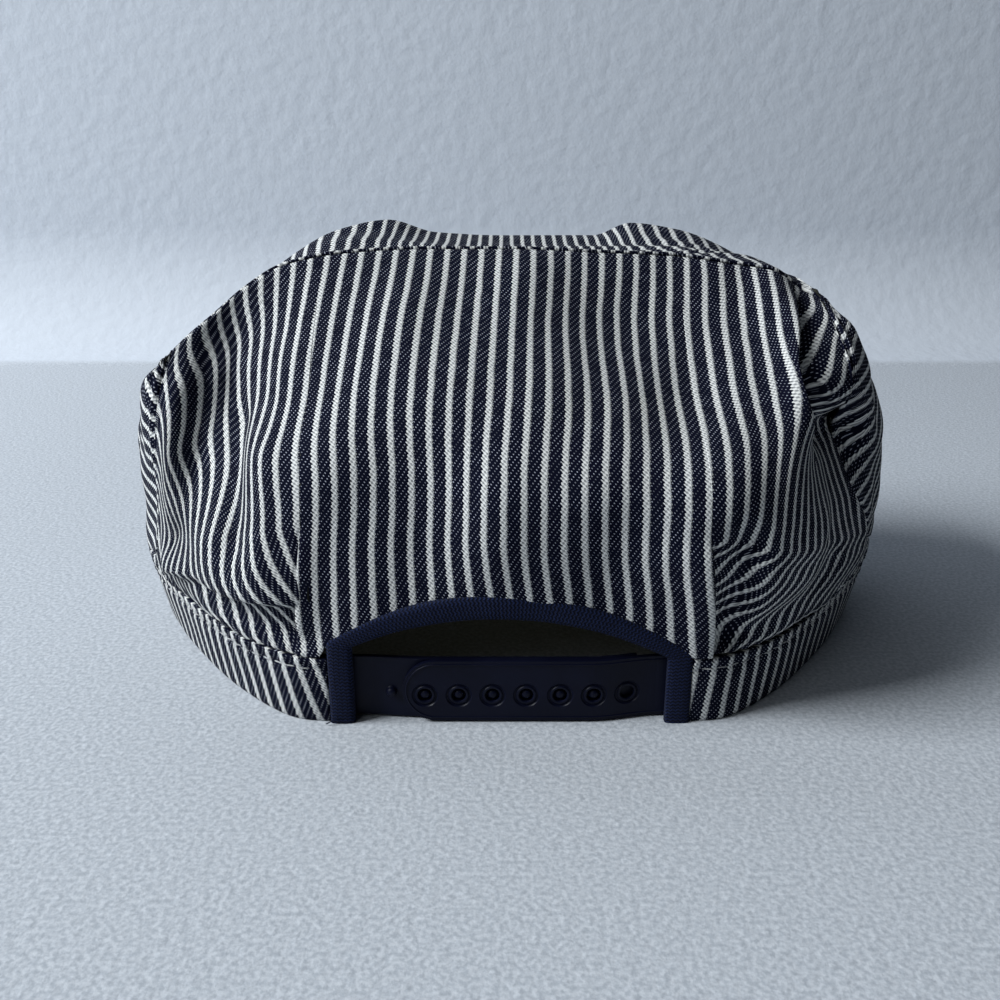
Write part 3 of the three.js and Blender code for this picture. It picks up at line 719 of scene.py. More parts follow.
class CrownForm:
    """The crown's outer surface, by the distance round the band and the level."""

    def __init__(self, plan: BandPlan) -> None:
        """Reads the tables.

        Args:
            plan: the head band's outline.
        """
        self.plan = plan
        self.left = table(LEFT_STATIONS)
        self.right = table(RIGHT_STATIONS)
        self.spine = table(SPINE)

    def rows(self, at: np.ndarray) -> np.ndarray:
        """The station's columns at each signed distance.

        Args:
            at: signed distance round the band.

        Returns:
            The columns, along a new last axis.
        """
        distance = np.abs(at)
        return np.where(
            (at < 0)[..., None],
            through_table(self.left, distance),
            through_table(self.right, distance),
        )

    def seam_level(self, at: np.ndarray) -> np.ndarray:
        """Level of the seam between the wall and the top.

        Args:
            at: signed distance round the band.

        Returns:
            The levels.
        """
        distance = np.abs(at)
        left = through_table(table(LEFT_SEAM), distance)[..., 1]
        right = through_table(table(RIGHT_SEAM), distance)[..., 1]
        return np.where(at < 0, left, right)

    def spine_share(self, at: np.ndarray) -> np.ndarray:
        """0 at the middle of the back and the front, 1 at the spine's ends.

        Args:
            at: signed distance round the band.

        Returns:
            The shares.
        """
        distance = np.abs(at)
        front = np.maximum(self.plan.half - distance, 0) / (self.plan.half - SPINE_STATION)
        return np.where(distance <= SPINE_STATION, distance / SPINE_STATION, front)

    def opposite(self, at: np.ndarray) -> np.ndarray:
        """The station across the spine whose line ends at the same point.

        Args:
            at: signed distance round the band.

        Returns:
            The other station's signed distance.
        """
        share = self.spine_share(at)
        front = self.plan.half - share * (self.plan.half - SPINE_STATION)
        back = share * SPINE_STATION
        return side_sign(at) * np.where(np.abs(at) <= SPINE_STATION, front, back)

    def inward(self, at: np.ndarray) -> np.ndarray:
        """The level unit vector that points into the crown.

        Args:
            at: signed distance round the band.

        Returns:
            The vectors, along a new last axis.
        """
        turn = np.radians(self.rows(at)[..., TURN])
        across = -side_sign(at) * np.sin(turn)
        return np.stack([across, np.cos(turn), np.zeros_like(turn)], axis=-1)

    def controls(self, at: np.ndarray) -> np.ndarray:
        """The ten control points of each line from the band over to the spine.

        Args:
            at: signed distance round the band, of one axis.

        Returns:
            The points, of shape (lines, 10, 3).
        """
        row = self.rows(at)
        foot = self.plan.place(at, np.full_like(at, BAND_HEIGHT), np.zeros_like(at))
        foot[:, 2] += WALL_GAP
        inward = self.inward(at)
        insets = np.concatenate([np.zeros((len(at), 1)), row[:, INSETS]], axis=1)
        points = foot[:, None, :] + inward[:, None, :] * insets[..., None]
        climb = (row[:, RIM_UP] - foot[:, 2:3]) * np.array(LEVEL_SHARES)
        points[..., 2] = foot[:, 2:3] + climb
        spine_x = side_sign(at) * SPINE_HALF * np.sin(self.spine_share(at) * math.pi / 2)
        height = through_table(self.spine, spine_x)[:, 1]
        spine = np.stack([spine_x, np.full_like(at, SPINE_Y), height], axis=-1)
        rim = points[:, RIM_LEVEL]
        over = []
        for share in (1 / 3, 2 / 3):
            point = rim + (spine - rim) * share
            point[:, 2] += row[:, PUFF]
            over.append(point)
        return np.concatenate([points, np.stack([*over, spine], axis=1)], axis=1)

    def fold_depth(self, folds: tuple, at: np.ndarray, level: np.ndarray) -> np.ndarray:
        """Depth of some creases together.

        Args:
            folds: the creases.
            at: signed distance round the band.
            level: level on the wall, 0 at the band and 6 at the rim.

        Returns:
            The depth inwards, negative for a swelling.
        """
        depth = np.zeros_like(level)
        for fold in folds:
            run = np.array([fold.to_at - fold.at, (fold.to_level - fold.level) * LEVEL_RISE])
            reach_at = at * fold.side.value - fold.at
            reach_up = (level - fold.level) * LEVEL_RISE
            share = np.clip((reach_at * run[0] + reach_up * run[1]) / (run @ run), 0, 1)
            away = np.hypot(reach_at - share * run[0], reach_up - share * run[1])
            above = (run[0] * reach_up - run[1] * reach_at) / np.linalg.norm(run)
            share = 0.5 + 0.5 * np.clip(above / np.maximum(away, 1e-6), -1, 1)
            width = fold.below + (fold.above - fold.below) * share
            depth += swell(away, fold.depth, width)
        return depth * smoothstep(level, 0, FOLDS_FROM)

    def points(self, at: np.ndarray, level: np.ndarray) -> np.ndarray:
        """Places on the crown at signed distances and levels of one shape.

        Args:
            at: signed distance round the band.
            level: level, 9 on the spine.

        Returns:
            The places.
        """
        shape = np.broadcast_shapes(at.shape, level.shape)
        at = np.broadcast_to(at, shape).ravel()
        level = np.broadcast_to(level, shape).ravel()
        line = self.controls(at)
        beyond = self.controls(self.opposite(at))[:, SPINE_LEVEL - 1 : SPINE_LEVEL]
        line = np.concatenate([line, beyond], axis=1)
        crisp = self.rows(at)[:, CRISP]
        rim = line[:, RIM_LEVEL]

        def past_rim(start: int) -> np.ndarray:
            """Where a line would go on past the rim."""
            bent = line[:, 2 * RIM_LEVEL - start]
            return bent + (2 * rim - line[:, start] - bent) * crisp

        index = np.clip(np.floor(level).astype(int), 0, SPINE_LEVEL - 1)
        t = (level - index)[:, None]
        each = np.arange(len(at))
        a, b, c, d = (line[each, np.maximum(index + step, 0)] for step in (-1, 0, 1, 2))
        d = np.where((index == RIM_LEVEL - 1)[:, None], past_rim(RIM_LEVEL - 1), d)
        a = np.where((index == RIM_LEVEL)[:, None], past_rim(RIM_LEVEL + 1), a)
        depth = self.fold_depth(FOLDS, at, level)
        places = spline([a, b, c, d], t) + self.inward(at) * depth[:, None]
        return places.reshape(*shape, 3)


class ClothMap:
    """How the striped cloth lies on the wall: which part of it is at each place."""

    STATIONS = 900
    LEVELS = 61

    def __init__(self, form: CrownForm) -> None:
        """Reads the tables and measures the form.

        Args:
            form: the surface that the cloth covers.
        """
        self.stations = np.linspace(-form.plan.half, form.plan.half, self.STATIONS)
        self.levels = np.linspace(0, RIM_LEVEL, self.LEVELS)
        grid = form.points(self.stations[:, None], self.levels[None, :])
        widths = arc_lengths(grid, 0)
        self.widths = widths - widths[len(widths) // 2]
        self.heights = arc_lengths(grid, 1)
        self.lean = table(MIDDLE_LEAN)
        self.slack = {Side.LEFT: table(LEFT_SLACK), Side.RIGHT: table(RIGHT_SLACK)}
        self.pleat_rows = {pleat: table(pleat.rows) for pleat in PLEATS}

    def measured(self, values: np.ndarray, at: np.ndarray, level: np.ndarray) -> np.ndarray:
        """Reads a measure of the even grid at some places, none past its last cell.

        Args:
            values: the measure on the grid.
            at: signed distance round the band.
            level: level on the wall, 0 at the band and 6 at the rim.

        Returns:
            The measure at the places.
        """
        step = self.stations[1] - self.stations[0]
        inside = 1.001
        i = np.clip((at - self.stations[0]) / step, 0, self.STATIONS - inside)
        j = np.clip(level / self.levels[1], 0, self.LEVELS - inside)
        i0, j0 = i.astype(int), j.astype(int)
        s, t = i - i0, j - j0
        low = values[i0, j0] * (1 - s) + values[i0 + 1, j0] * s
        high = values[i0, j0 + 1] * (1 - s) + values[i0 + 1, j0 + 1] * s
        return low * (1 - t) + high * t

    def pleat_at(self, pleat: Pleat, level: np.ndarray) -> np.ndarray:
        """A pleat's columns at some levels: level, at, under, hidden, proud, deep."""
        return through_table(self.pleat_rows[pleat], level)

    def hidden(self, pleat: Pleat, at: np.ndarray, level: np.ndarray) -> np.ndarray:
        """Width of cloth that a pleat has taken up, at places beyond it.

        Args:
            pleat: the pleat.
            at: signed distance round the band.
            level: level on the wall, 0 at the band and 6 at the rim.

        Returns:
            The widths.
        """
        beyond = np.maximum(at * pleat.side.value - self.pleat_at(pleat, level)[..., 1], 0)
        width = self.pleat_at(pleat, level * (1 + beyond / pleat.squat))[..., 3]
        fade = np.clip((beyond - pleat.near) / (pleat.far - pleat.near), 0, 1)
        return width * (1 - fade)

    def drift(self, at: np.ndarray, level: np.ndarray) -> np.ndarray:
        """Lean of the middle stripe and slack of the cloth at the sides.

        Args:
            at: signed distance round the band.
            level: level on the wall, 0 at the band and 6 at the rim.

        Returns:
            How far the cloth's stripes lie to the right of the form's own distance.
        """
        lean = through_table(self.lean, level)[..., 1]
        outward = np.zeros_like(lean)
        for side, rows in self.slack.items():
            values = through_table(rows, at * side.value)[..., 1:]
            values = np.concatenate([values[..., :1], values, values[..., -1:]], axis=-1)
            index = np.clip(np.floor(level).astype(int), 0, RIM_LEVEL - 1)
            near = [
                np.take_along_axis(values, (index + step)[..., None], axis=-1)[..., 0]
                for step in range(4)
            ]
            value = spline(near, level - index)
            outward += np.where(at * side.value > 0, side.value * value, 0.0)
        return lean + outward


def only_verts(geometry: list) -> list[bmesh.types.BMVert]:
    """The vertices among the parts of a bmesh."""
    return [item for item in geometry if isinstance(item, bmesh.types.BMVert)]


def new_object(name: str, bm: bmesh.types.BMesh, smooth: bool) -> bpy.types.Object:
    """Makes an object of a bmesh in metres.

    Args:
        name: the object's name.
        bm: its shape; it is freed here.
        smooth: whether its faces are shaded smooth.

    Returns:
        The object.
    """
    mesh = bpy.data.meshes.new(name)
    for face in bm.faces:
        face.smooth = smooth
    bm.to_mesh(mesh)
    bm.free()
    piece = bpy.data.objects.new(name, mesh)
    bpy.context.scene.collection.objects.link(piece)
    LOG.info("%s: %d faces", name, len(mesh.polygons))
    return piece


def add_mesh(name: str, bm: bmesh.types.BMesh, smooth: bool = True) -> bpy.types.Object:
    """Makes a piece of a bmesh in millimetres and puts it into the row frame.

    Args:
        name: the piece's name.
        bm: its shape in the cap's frame; it is freed here.
        smooth: whether its faces are shaded smooth.

    Returns:
        The piece.
    """
    offset = cap_offset()
    for vert in bm.verts:
        vert.co = (vert.co + Vector(offset)) * MM
    piece = new_object(name, bm, smooth)
    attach(piece, "root")
    return piece


def grid_piece(
    name: str, places: np.ndarray, coords: np.ndarray, weld: bool = False
) -> bpy.types.Object:
    """A cloth surface from a grid of places, with its cloth coordinates as a UV map.

    Args:
        name: the piece's name.
        places: millimetres, of shape (along, up, 3).
        coords: cloth coordinates across and along the stripes, of shape (along, up, 2).
        weld: whether coincident vertices are joined, as where a ring closes.

    Returns:
        The piece.
    """
    columns, rows = places.shape[:2]
    bm = bmesh.new()
    bmesh.ops.create_grid(bm, x_segments=columns - 1, y_segments=rows - 1, size=1.0)
    cloth = bm.loops.layers.uv.new("cloth")
    spot = {}
    for vert in bm.verts:
        i = round((vert.co.x + 1) / 2 * (columns - 1))
        j = round((vert.co.y + 1) / 2 * (rows - 1))
        spot[vert] = (i, j)
        vert.co = Vector(places[i, j])
    for face in bm.faces:
        for loop in face.loops:
            i, j = spot[loop.vert]
            loop[cloth].uv = coords[i, j]
    if weld:
        bmesh.ops.remove_doubles(bm, verts=bm.verts[:], dist=WELD)
    return add_mesh(name, bm)


def soften_edges(piece: bpy.types.Object, width: float, segments: int) -> None:
    """Rounds the sharp edges of a piece.

    Args:
        piece: the piece.
        width: of the rounding, in millimetres.
        segments: how many faces it has across.
    """
    edge = piece.modifiers.new("soft_edges", "BEVEL")
    edge.width = width * MM
    edge.segments = segments
    edge.limit_method = "ANGLE"
    edge.angle_limit = SHARP


def thicken(piece: bpy.types.Object, thickness: float, inner: bool = True) -> None:
    """Gives a cloth surface its thickness, inwards.

    Args:
        piece: the surface.
        thickness: in millimetres.
        inner: whether the inner side takes the next material slot.
    """
    solid = piece.modifiers.new("thickness", "SOLIDIFY")
    solid.thickness = thickness * MM
    solid.offset = -1
    solid.use_even_offset = False
    solid.material_offset = 1 if inner else 0


class Graph:
    """A material's nodes, with short calls for the arithmetic of a pattern."""

    INPUTS = {
        "roughness": "Roughness",
        "specular": "Specular IOR Level",
        "sheen": "Sheen Weight",
        "sheen_roughness": "Sheen Roughness",
    }

    def __init__(self, name: str) -> None:
        """Starts a material with a Principled shader.

        Args:
            name: the material's name.
        """
        self.material = bpy.data.materials.new(name)
        self.material.use_nodes = True
        self.nodes = self.material.node_tree.nodes
        self.links = self.material.node_tree.links
        self.shader = self.nodes["Principled BSDF"]

    def join(self, socket: Socket, value: Value) -> None:
        """Links a socket, or sets it where the value is a number.

        Args:
            socket: an input.
            value: a socket, a number or a colour.
        """
        if isinstance(value, (int, float, tuple)):
            socket.default_value = value
        else:
            self.links.new(value, socket)

    def math(self, operation: str, a: Value, b: Value = 0.0, c: Value = 0.0) -> Socket:
        """One arithmetic step.

        Args:
            operation: a Math node's operation.
            a: first value.
            b: second value, where it has one.
            c: third value, where it has one.

        Returns:
            The result's socket.
        """
        node = self.nodes.new("ShaderNodeMath")
        node.operation = operation
        for socket, value in zip(node.inputs, (a, b, c)):
            self.join(socket, value)
        return node.outputs[0]

    def wave(self, value: Value, period: float) -> Socket:
        """A sine of a length in millimetres with a period in millimetres."""
        return self.math("SINE", self.math("MULTIPLY", value, 2 * math.pi / period))

    def ramp(
        self, value: Value, low: float, high: float, start: float = 0.0, end: float = 1.0
    ) -> Socket:
        """Smooth rise of a value from start at low to end at high.

        Args:
            value: the value that rises.
            low: where the rise starts.
            high: where it ends.
            start: the result up to low.
            end: the result from high on.

        Returns:
            The result's socket.
        """
        node = self.nodes.new("ShaderNodeMapRange")
        node.interpolation_type = "SMOOTHSTEP"
        for socket, number in zip(node.inputs, (value, low, high, start, end)):
            self.join(socket, number)
        return node.outputs[0]

    def blend(self, share: Value, a: Value, b: Value) -> Socket:
        """Colour a, turning to b as share goes to 1.

        Args:
            share: 0 to 1.
            a: the first colour.
            b: the second colour.

        Returns:
            The blended colour's socket.
        """
        node = self.nodes.new("ShaderNodeMix")
        node.data_type = "RGBA"
        # The node's sockets for colours.
        factor, first, second, result = 0, 6, 7, 2
        self.join(node.inputs[factor], share)
        self.join(node.inputs[first], a)
        self.join(node.inputs[second], b)
        return node.outputs[result]

    def noise(self, vector: Socket, scale: float, detail: float = 2.0) -> Socket:
        """Smooth noise between 0 and 1.

        Args:
            vector: the place.
            scale: waves to a unit of the place.
            detail: how many finer layers it has.

        Returns:
            The noise's socket.
        """
        node = self.nodes.new("ShaderNodeTexNoise")
        node.inputs["Scale"].default_value = scale
        node.inputs["Detail"].default_value = detail
        self.links.new(vector, node.inputs["Vector"])
        return node.outputs["Fac"]

    def cloth_place(self) -> tuple[Socket, Socket, Socket]:
        """The piece's own cloth coordinates.

        Returns:
            The vector, the distance across the stripes and the one along them.
        """
        node = self.nodes.new("ShaderNodeUVMap")
        node.uv_map = "cloth"
        split = self.nodes.new("ShaderNodeSeparateXYZ")
        self.links.new(node.outputs[0], split.inputs[0])
        return node.outputs[0], split.outputs[0], split.outputs[1]

    def object_place(self) -> Socket:
        """The place on the object in metres."""
        return self.nodes.new("ShaderNodeTexCoord").outputs["Object"]

    def bump(self, height: Socket, strength: float, distance: float) -> None:
        """Adds fine relief.

        Args:
            height: the relief's height, about 0 to 1.
            strength: how much of it shows.
            distance: its depth in millimetres.
        """
        node = self.nodes.new("ShaderNodeBump")
        node.inputs["Strength"].default_value = strength
        node.inputs["Distance"].default_value = distance * MM
        self.links.new(height, node.inputs["Height"])
        self.links.new(node.outputs[0], self.shader.inputs["Normal"])

    def surface(self, colour: Value, **inputs: Value) -> bpy.types.Material:
        """Gives the shader its colour and its other inputs.

        Args:
            colour: the base colour.
            inputs: the other inputs' values, by their short names.

        Returns:
            The finished material.
        """
        self.join(self.shader.inputs["Base Color"], colour)
        for name, value in inputs.items():
            self.join(self.shader.inputs[self.INPUTS[name]], value)
        return self.material


@dataclass(frozen=True)
class StripedTwill:
    """Navy twill with off-white warp stripes like flat braided cords.

    A range gives where a ramp starts and ends, and its results there if not 0 and 1.
    """

    name: str = "hickory_stripe_twill"
    pitch: float = 4.7
    half_stripe: float = 0.76
    zigzag: float = 0.19
    twill_rise: float = 1.48
    twill_period: float = 2.0
    weft_fall: float = 0.84
    weft_period: float = 0.97
    first_stripe: float = -0.2
    twill_share: float = 0.65
    stripe_edge: float = 0.08
    drift: float = 0.5
    drift_scale: float = 0.12
    cord_range: tuple[float, float] = (-1.2, 0.8)
    dot_range: tuple[float, float] = (0.95, 1.55)
    patch_scale: float = 0.3
    patch_range: tuple[float, float, float, float] = (0.3, 0.7, 0.2, 1.0)
    worn_scale: float = 0.9
    worn_range: tuple[float, float, float, float] = (0.25, 0.75, 0.86, 1.0)
    cloud_detail: float = 3.0
    navy: Colour = (0.0028, 0.0038, 0.0125, 1.0)
    fleck: Colour = (0.5, 0.53, 0.62, 1.0)
    white: Colour = (0.82, 0.83, 0.81, 1.0)
    # Painted shade in the cords' dips, where their relief is low.
    shade: Colour = (0.27, 0.28, 0.29, 1.0)

    def make(self) -> bpy.types.Material:
        """Builds the material.

        Returns:
            The material.
        """
        graph = Graph(self.name)
        place, across, along = graph.cloth_place()
        rising = graph.math("MULTIPLY_ADD", across, -self.twill_rise, along)
        falling = graph.math("MULTIPLY_ADD", across, self.weft_fall, along)
        twill = graph.wave(rising, self.twill_period)
        weft = graph.wave(falling, self.weft_period)
        woven = graph.math("MULTIPLY_ADD", twill, self.twill_share, weft)
        drift = graph.math("SUBTRACT", graph.noise(place, self.drift_scale), 0.5)
        moved = graph.math("MULTIPLY_ADD", drift, self.drift, across)
        line = graph.math("MULTIPLY_ADD", woven, self.zigzag, moved)
        turns = graph.math("DIVIDE", graph.math("SUBTRACT", line, self.first_stripe), self.pitch)
        part = graph.math("SUBTRACT", graph.math("FRACT", graph.math("ADD", turns, 0.5)), 0.5)
        away = graph.math("MULTIPLY", graph.math("ABSOLUTE", part), self.pitch)
        low, high = self.half_stripe - self.stripe_edge, self.half_stripe + self.stripe_edge
        stripe = graph.ramp(away, low, high, 1.0, 0.0)
        cords = graph.ramp(woven, *self.cord_range)
        dots = graph.ramp(woven, *self.dot_range)
        patches = graph.noise(place, self.patch_scale, self.cloud_detail)
        patch = graph.ramp(patches, *self.patch_range)
        ground = graph.blend(graph.math("MULTIPLY", dots, patch), self.navy, self.fleck)
        wear = graph.noise(place, self.worn_scale, self.cloud_detail)
        worn = graph.ramp(wear, *self.worn_range)
        # The cords' dips get painted shade; the wear noise dulls the white at random.
        cord = graph.blend(graph.math("MULTIPLY", cords, worn), self.shade, self.white)
        raised = graph.math("MULTIPLY_ADD", cords, 0.8, 0.4)
        sunk = graph.math("MULTIPLY", dots, 0.5)
        graph.bump(graph.blend(stripe, sunk, raised), strength=0.6, distance=0.22)
        colour = graph.blend(stripe, ground, cord)
        return graph.surface(
            colour, roughness=0.92, specular=0.05, sheen=0.01, sheen_roughness=0.4
        )


@dataclass(frozen=True)
class ClothInside:
    """The cloth's inner side, painted a dark olive that stands for the shade inside the crown."""

    name: str = "cloth_inside"
    twill_rise: float = 0.7
    twill_period: float = 0.8
    rib_range: tuple[float, float, float, float] = (-0.6, 0.9, 0.0, 0.8)
    cloud_scale: float = 0.2
    # Painted shade: both colours are kept as dark as the shade inside the crown.
    dark: Colour = (0.02, 0.021, 0.017, 1.0)
    light: Colour = (0.045, 0.046, 0.037, 1.0)

    def make(self) -> bpy.types.Material:
        """Builds the material.

        Returns:
            The material.
        """
        graph = Graph(self.name)
        place, across, along = graph.cloth_place()
        slanting = graph.math("MULTIPLY_ADD", across, self.twill_rise, along)
        ribs = graph.ramp(graph.wave(slanting, self.twill_period), *self.rib_range)
        cloudy = graph.math("MULTIPLY", ribs, graph.noise(place, self.cloud_scale))
        graph.bump(ribs, strength=0.4, distance=0.15)
        # Painted shade: the dark olive of the crown's shaded inside, with lighter ribs.
        colour = graph.blend(cloudy, self.dark, self.light)
        return graph.surface(colour, roughness=0.95, specular=0.2)


@dataclass(frozen=True)
class KnitTape:
    """Navy knit tape with small V loops in rows across it."""

    name: str = "navy_knit_tape"
    loop_pitch: float = 0.95
    row_width: float = 1.25
    slant: float = 0.9
    loop_range: tuple[float, float] = (-0.7, 0.8)
    gutter_range: tuple[float, float, float, float] = (0.36, 0.5, 1.0, 0.45)
    cloud_scale: float = 0.6
    cloud_range: tuple[float, float, float, float] = (0.2, 0.8, 0.6, 1.0)
    # valley is painted shade in the gutters between the rows and the dips between the loops.
    valley: Colour = (0.0025, 0.0035, 0.011, 1.0)
    crown: Colour = (0.011, 0.02, 0.068, 1.0)

    def make(self) -> bpy.types.Material:
        """Builds the material.

        Returns:
            The material.
        """
        graph = Graph(self.name)
        place, across, along = graph.cloth_place()
        row = graph.math("DIVIDE", across, self.row_width)
        from_middle = graph.math("ABSOLUTE", graph.math("SUBTRACT", graph.math("FRACT", row), 0.5))
        bent = graph.math("MULTIPLY_ADD", from_middle, self.slant, along)
        loops = graph.ramp(graph.wave(bent, self.loop_pitch), *self.loop_range)
        gutter = graph.ramp(from_middle, *self.gutter_range)
        yarn = graph.math("MULTIPLY", loops, gutter)
        cloud = graph.ramp(graph.noise(place, self.cloud_scale), *self.cloud_range)
        # Painted shade where the loops dip and the rows meet, varied at random by the cloud.
        mottled = graph.math("MULTIPLY", yarn, cloud)
        graph.bump(yarn, strength=0.8, distance=0.3)
        colour = graph.blend(mottled, self.valley, self.crown)
        return graph.surface(colour, roughness=0.85, specular=0.1, sheen=0.03)


@dataclass(frozen=True)
class StrapPlastic:
    """Dark navy moulded plastic with a satin face and faint handling marks."""

    name: str = "dark_navy_plastic"
    cloud_scale: float = 70.0
    cloud_detail: float = 4.0
    dust_range: tuple[float, float] = (0.35, 0.75)
    rough_range: tuple[float, float, float, float] = (0.3, 0.7, 0.34, 0.46)
    grain_scale: float = 900.0
    base: Colour = (0.0025, 0.0034, 0.0125, 1.0)
    dusty: Colour = (0.0045, 0.006, 0.019, 1.0)

    def make(self) -> bpy.types.Material:
        """Builds the material.

        Returns:
            The material.
        """
        graph = Graph(self.name)
        place = graph.object_place()
        cloud = graph.noise(place, self.cloud_scale, self.cloud_detail)
        dust = graph.ramp(cloud, *self.dust_range)
        graph.bump(graph.noise(place, self.grain_scale), strength=0.12, distance=0.05)
        colour = graph.blend(dust, self.base, self.dusty)
        rough = graph.ramp(cloud, *self.rough_range)
        return graph.surface(colour, roughness=rough, specular=0.13)


@dataclass(frozen=True)
class SewingThread:
    """Pale grey sewing thread with a ply twist."""

    name: str = "pale_thread"
    ply_scale: float = 2600.0
    ply_range: tuple[float, float] = (0.4, 0.6)
    pale: Colour = (0.55, 0.56, 0.56, 1.0)
    # groove is painted shade where the twist's relief is low.
    groove: Colour = (0.3, 0.3, 0.31, 1.0)

    def make(self) -> bpy.types.Material:
        """Builds the material.

        Returns:
            The material.
        """
        graph = Graph(self.name)
        twist = graph.noise(graph.object_place(), self.ply_scale)
        ply = graph.ramp(twist, *self.ply_range)
        graph.bump(ply, strength=0.3, distance=0.05)
        # Painted shade in the twist's grooves, pale on its raised plies.
        return graph.surface(graph.blend(ply, self.groove, self.pale), roughness=0.8)


@dataclass(frozen=True)
class PaleSurface:
    """The plain pale floor and backdrop, faintly mottled like felted board."""

    name: str = "pale_surface"
    grain_scale: float = 900.0
    grain_range: tuple[float, float] = (0.3, 0.7)
    grain_detail: float = 6.0
    upright_from: tuple[float, float] = (0.0003, 0.002)
    fine_scale: float = 420.0
    fine_height: float = 0.9
    coarse_scale: float = 105.0
    coarse_height: float = 2.2
    coarse_detail: float = 3.0
    light: Colour = (0.53, 0.56, 0.60, 1.0)
    dark: Colour = (0.37, 0.40, 0.44, 1.0)
    backdrop: Colour = (0.56, 0.60, 0.66, 1.0)

    def make(self) -> bpy.types.Material:
        """Builds the material.

        Returns:
            The material.
        """
        graph = Graph(self.name)
        place = graph.object_place()
        speckle = graph.noise(place, self.grain_scale, self.grain_detail)
        grain = graph.ramp(speckle, *self.grain_range)
        split = graph.nodes.new("ShaderNodeSeparateXYZ")
        graph.join(split.inputs[0], place)
        upright = graph.ramp(split.outputs["Z"], *self.upright_from)
        floor = graph.blend(grain, self.dark, self.light)
        felt = graph.noise(place, self.fine_scale, self.grain_detail)
        fine = graph.math("MULTIPLY", felt, self.fine_height)
        plaster = graph.noise(place, self.coarse_scale, self.coarse_detail)
        coarse = graph.math("MULTIPLY", plaster, self.coarse_height)
        graph.bump(graph.blend(upright, fine, coarse), strength=0.35, distance=1.0)
        colour = graph.blend(upright, floor, self.backdrop)
        return graph.surface(colour, roughness=0.9, specular=0.2)


class Finishes:
    """Every finish, made once."""

    def __init__(self) -> None:
        """Builds the materials."""
        self.twill = StripedTwill().make()
        self.inside = ClothInside().make()
        self.tape = KnitTape().make()
        self.plastic = StrapPlastic().make()
        self.thread = SewingThread().make()
        self.surface = PaleSurface().make()


def dress(piece: bpy.types.Object, *materials: bpy.types.Material) -> None:
    """Gives a piece its materials, in slot order."""
    for material in materials:
        piece.data.materials.append(material)


def stitches(
    name: str, places: np.ndarray, normals: np.ndarray, length: float, gap: float, radius: float
) -> bpy.types.Object:
    """A row of separate stitches along a line on a surface.

    Args:
        name: the piece's name.
        places: points of the line, millimetres.
        normals: the surface's outward direction at them.
        length: of one stitch.
        gap: between two stitches.
        radius: of the thread.

    Returns:
        The row as one piece.
    """
    run = arc_lengths(places[:, None], 0)[:, 0]
    centres = np.arange(length / 2, run[-1] - length / 2, length + gap)

    def read(columns: np.ndarray, where: np.ndarray) -> np.ndarray:
        """The columns at some distances along the line."""
        return np.stack([np.interp(where, run, columns[:, k]) for k in range(3)], axis=-1)

    middle = read(places, centres)
    reach = 0.4
    along = unit(read(places, centres + reach) - read(places, centres - reach))
    outward = unit(read(normals, centres))
    bm = bmesh.new()
    for point, way, out in zip(middle, along, outward):
        side = np.cross(way, out)
        turn = Matrix((way * length / 2, side * radius, out * radius)).transposed()
        place = Matrix.Translation(Vector(point)) @ turn.to_4x4()
        bmesh.ops.create_uvsphere(bm, u_segments=6, v_segments=5, radius=1.0, matrix=place)
    return add_mesh(name, bm)


@dataclass
class WallColumns:
    """The wall grid's columns, gathered at the pleats.

    For each column: its own distance, and for each pleat the share of its reach under,
    of its rise and depth, and of its hidden cloth.
    """

    at: np.ndarray
    reach: dict[Pleat, np.ndarray]
    rise: dict[Pleat, np.ndarray]
    taken: dict[Pleat, np.ndarray]


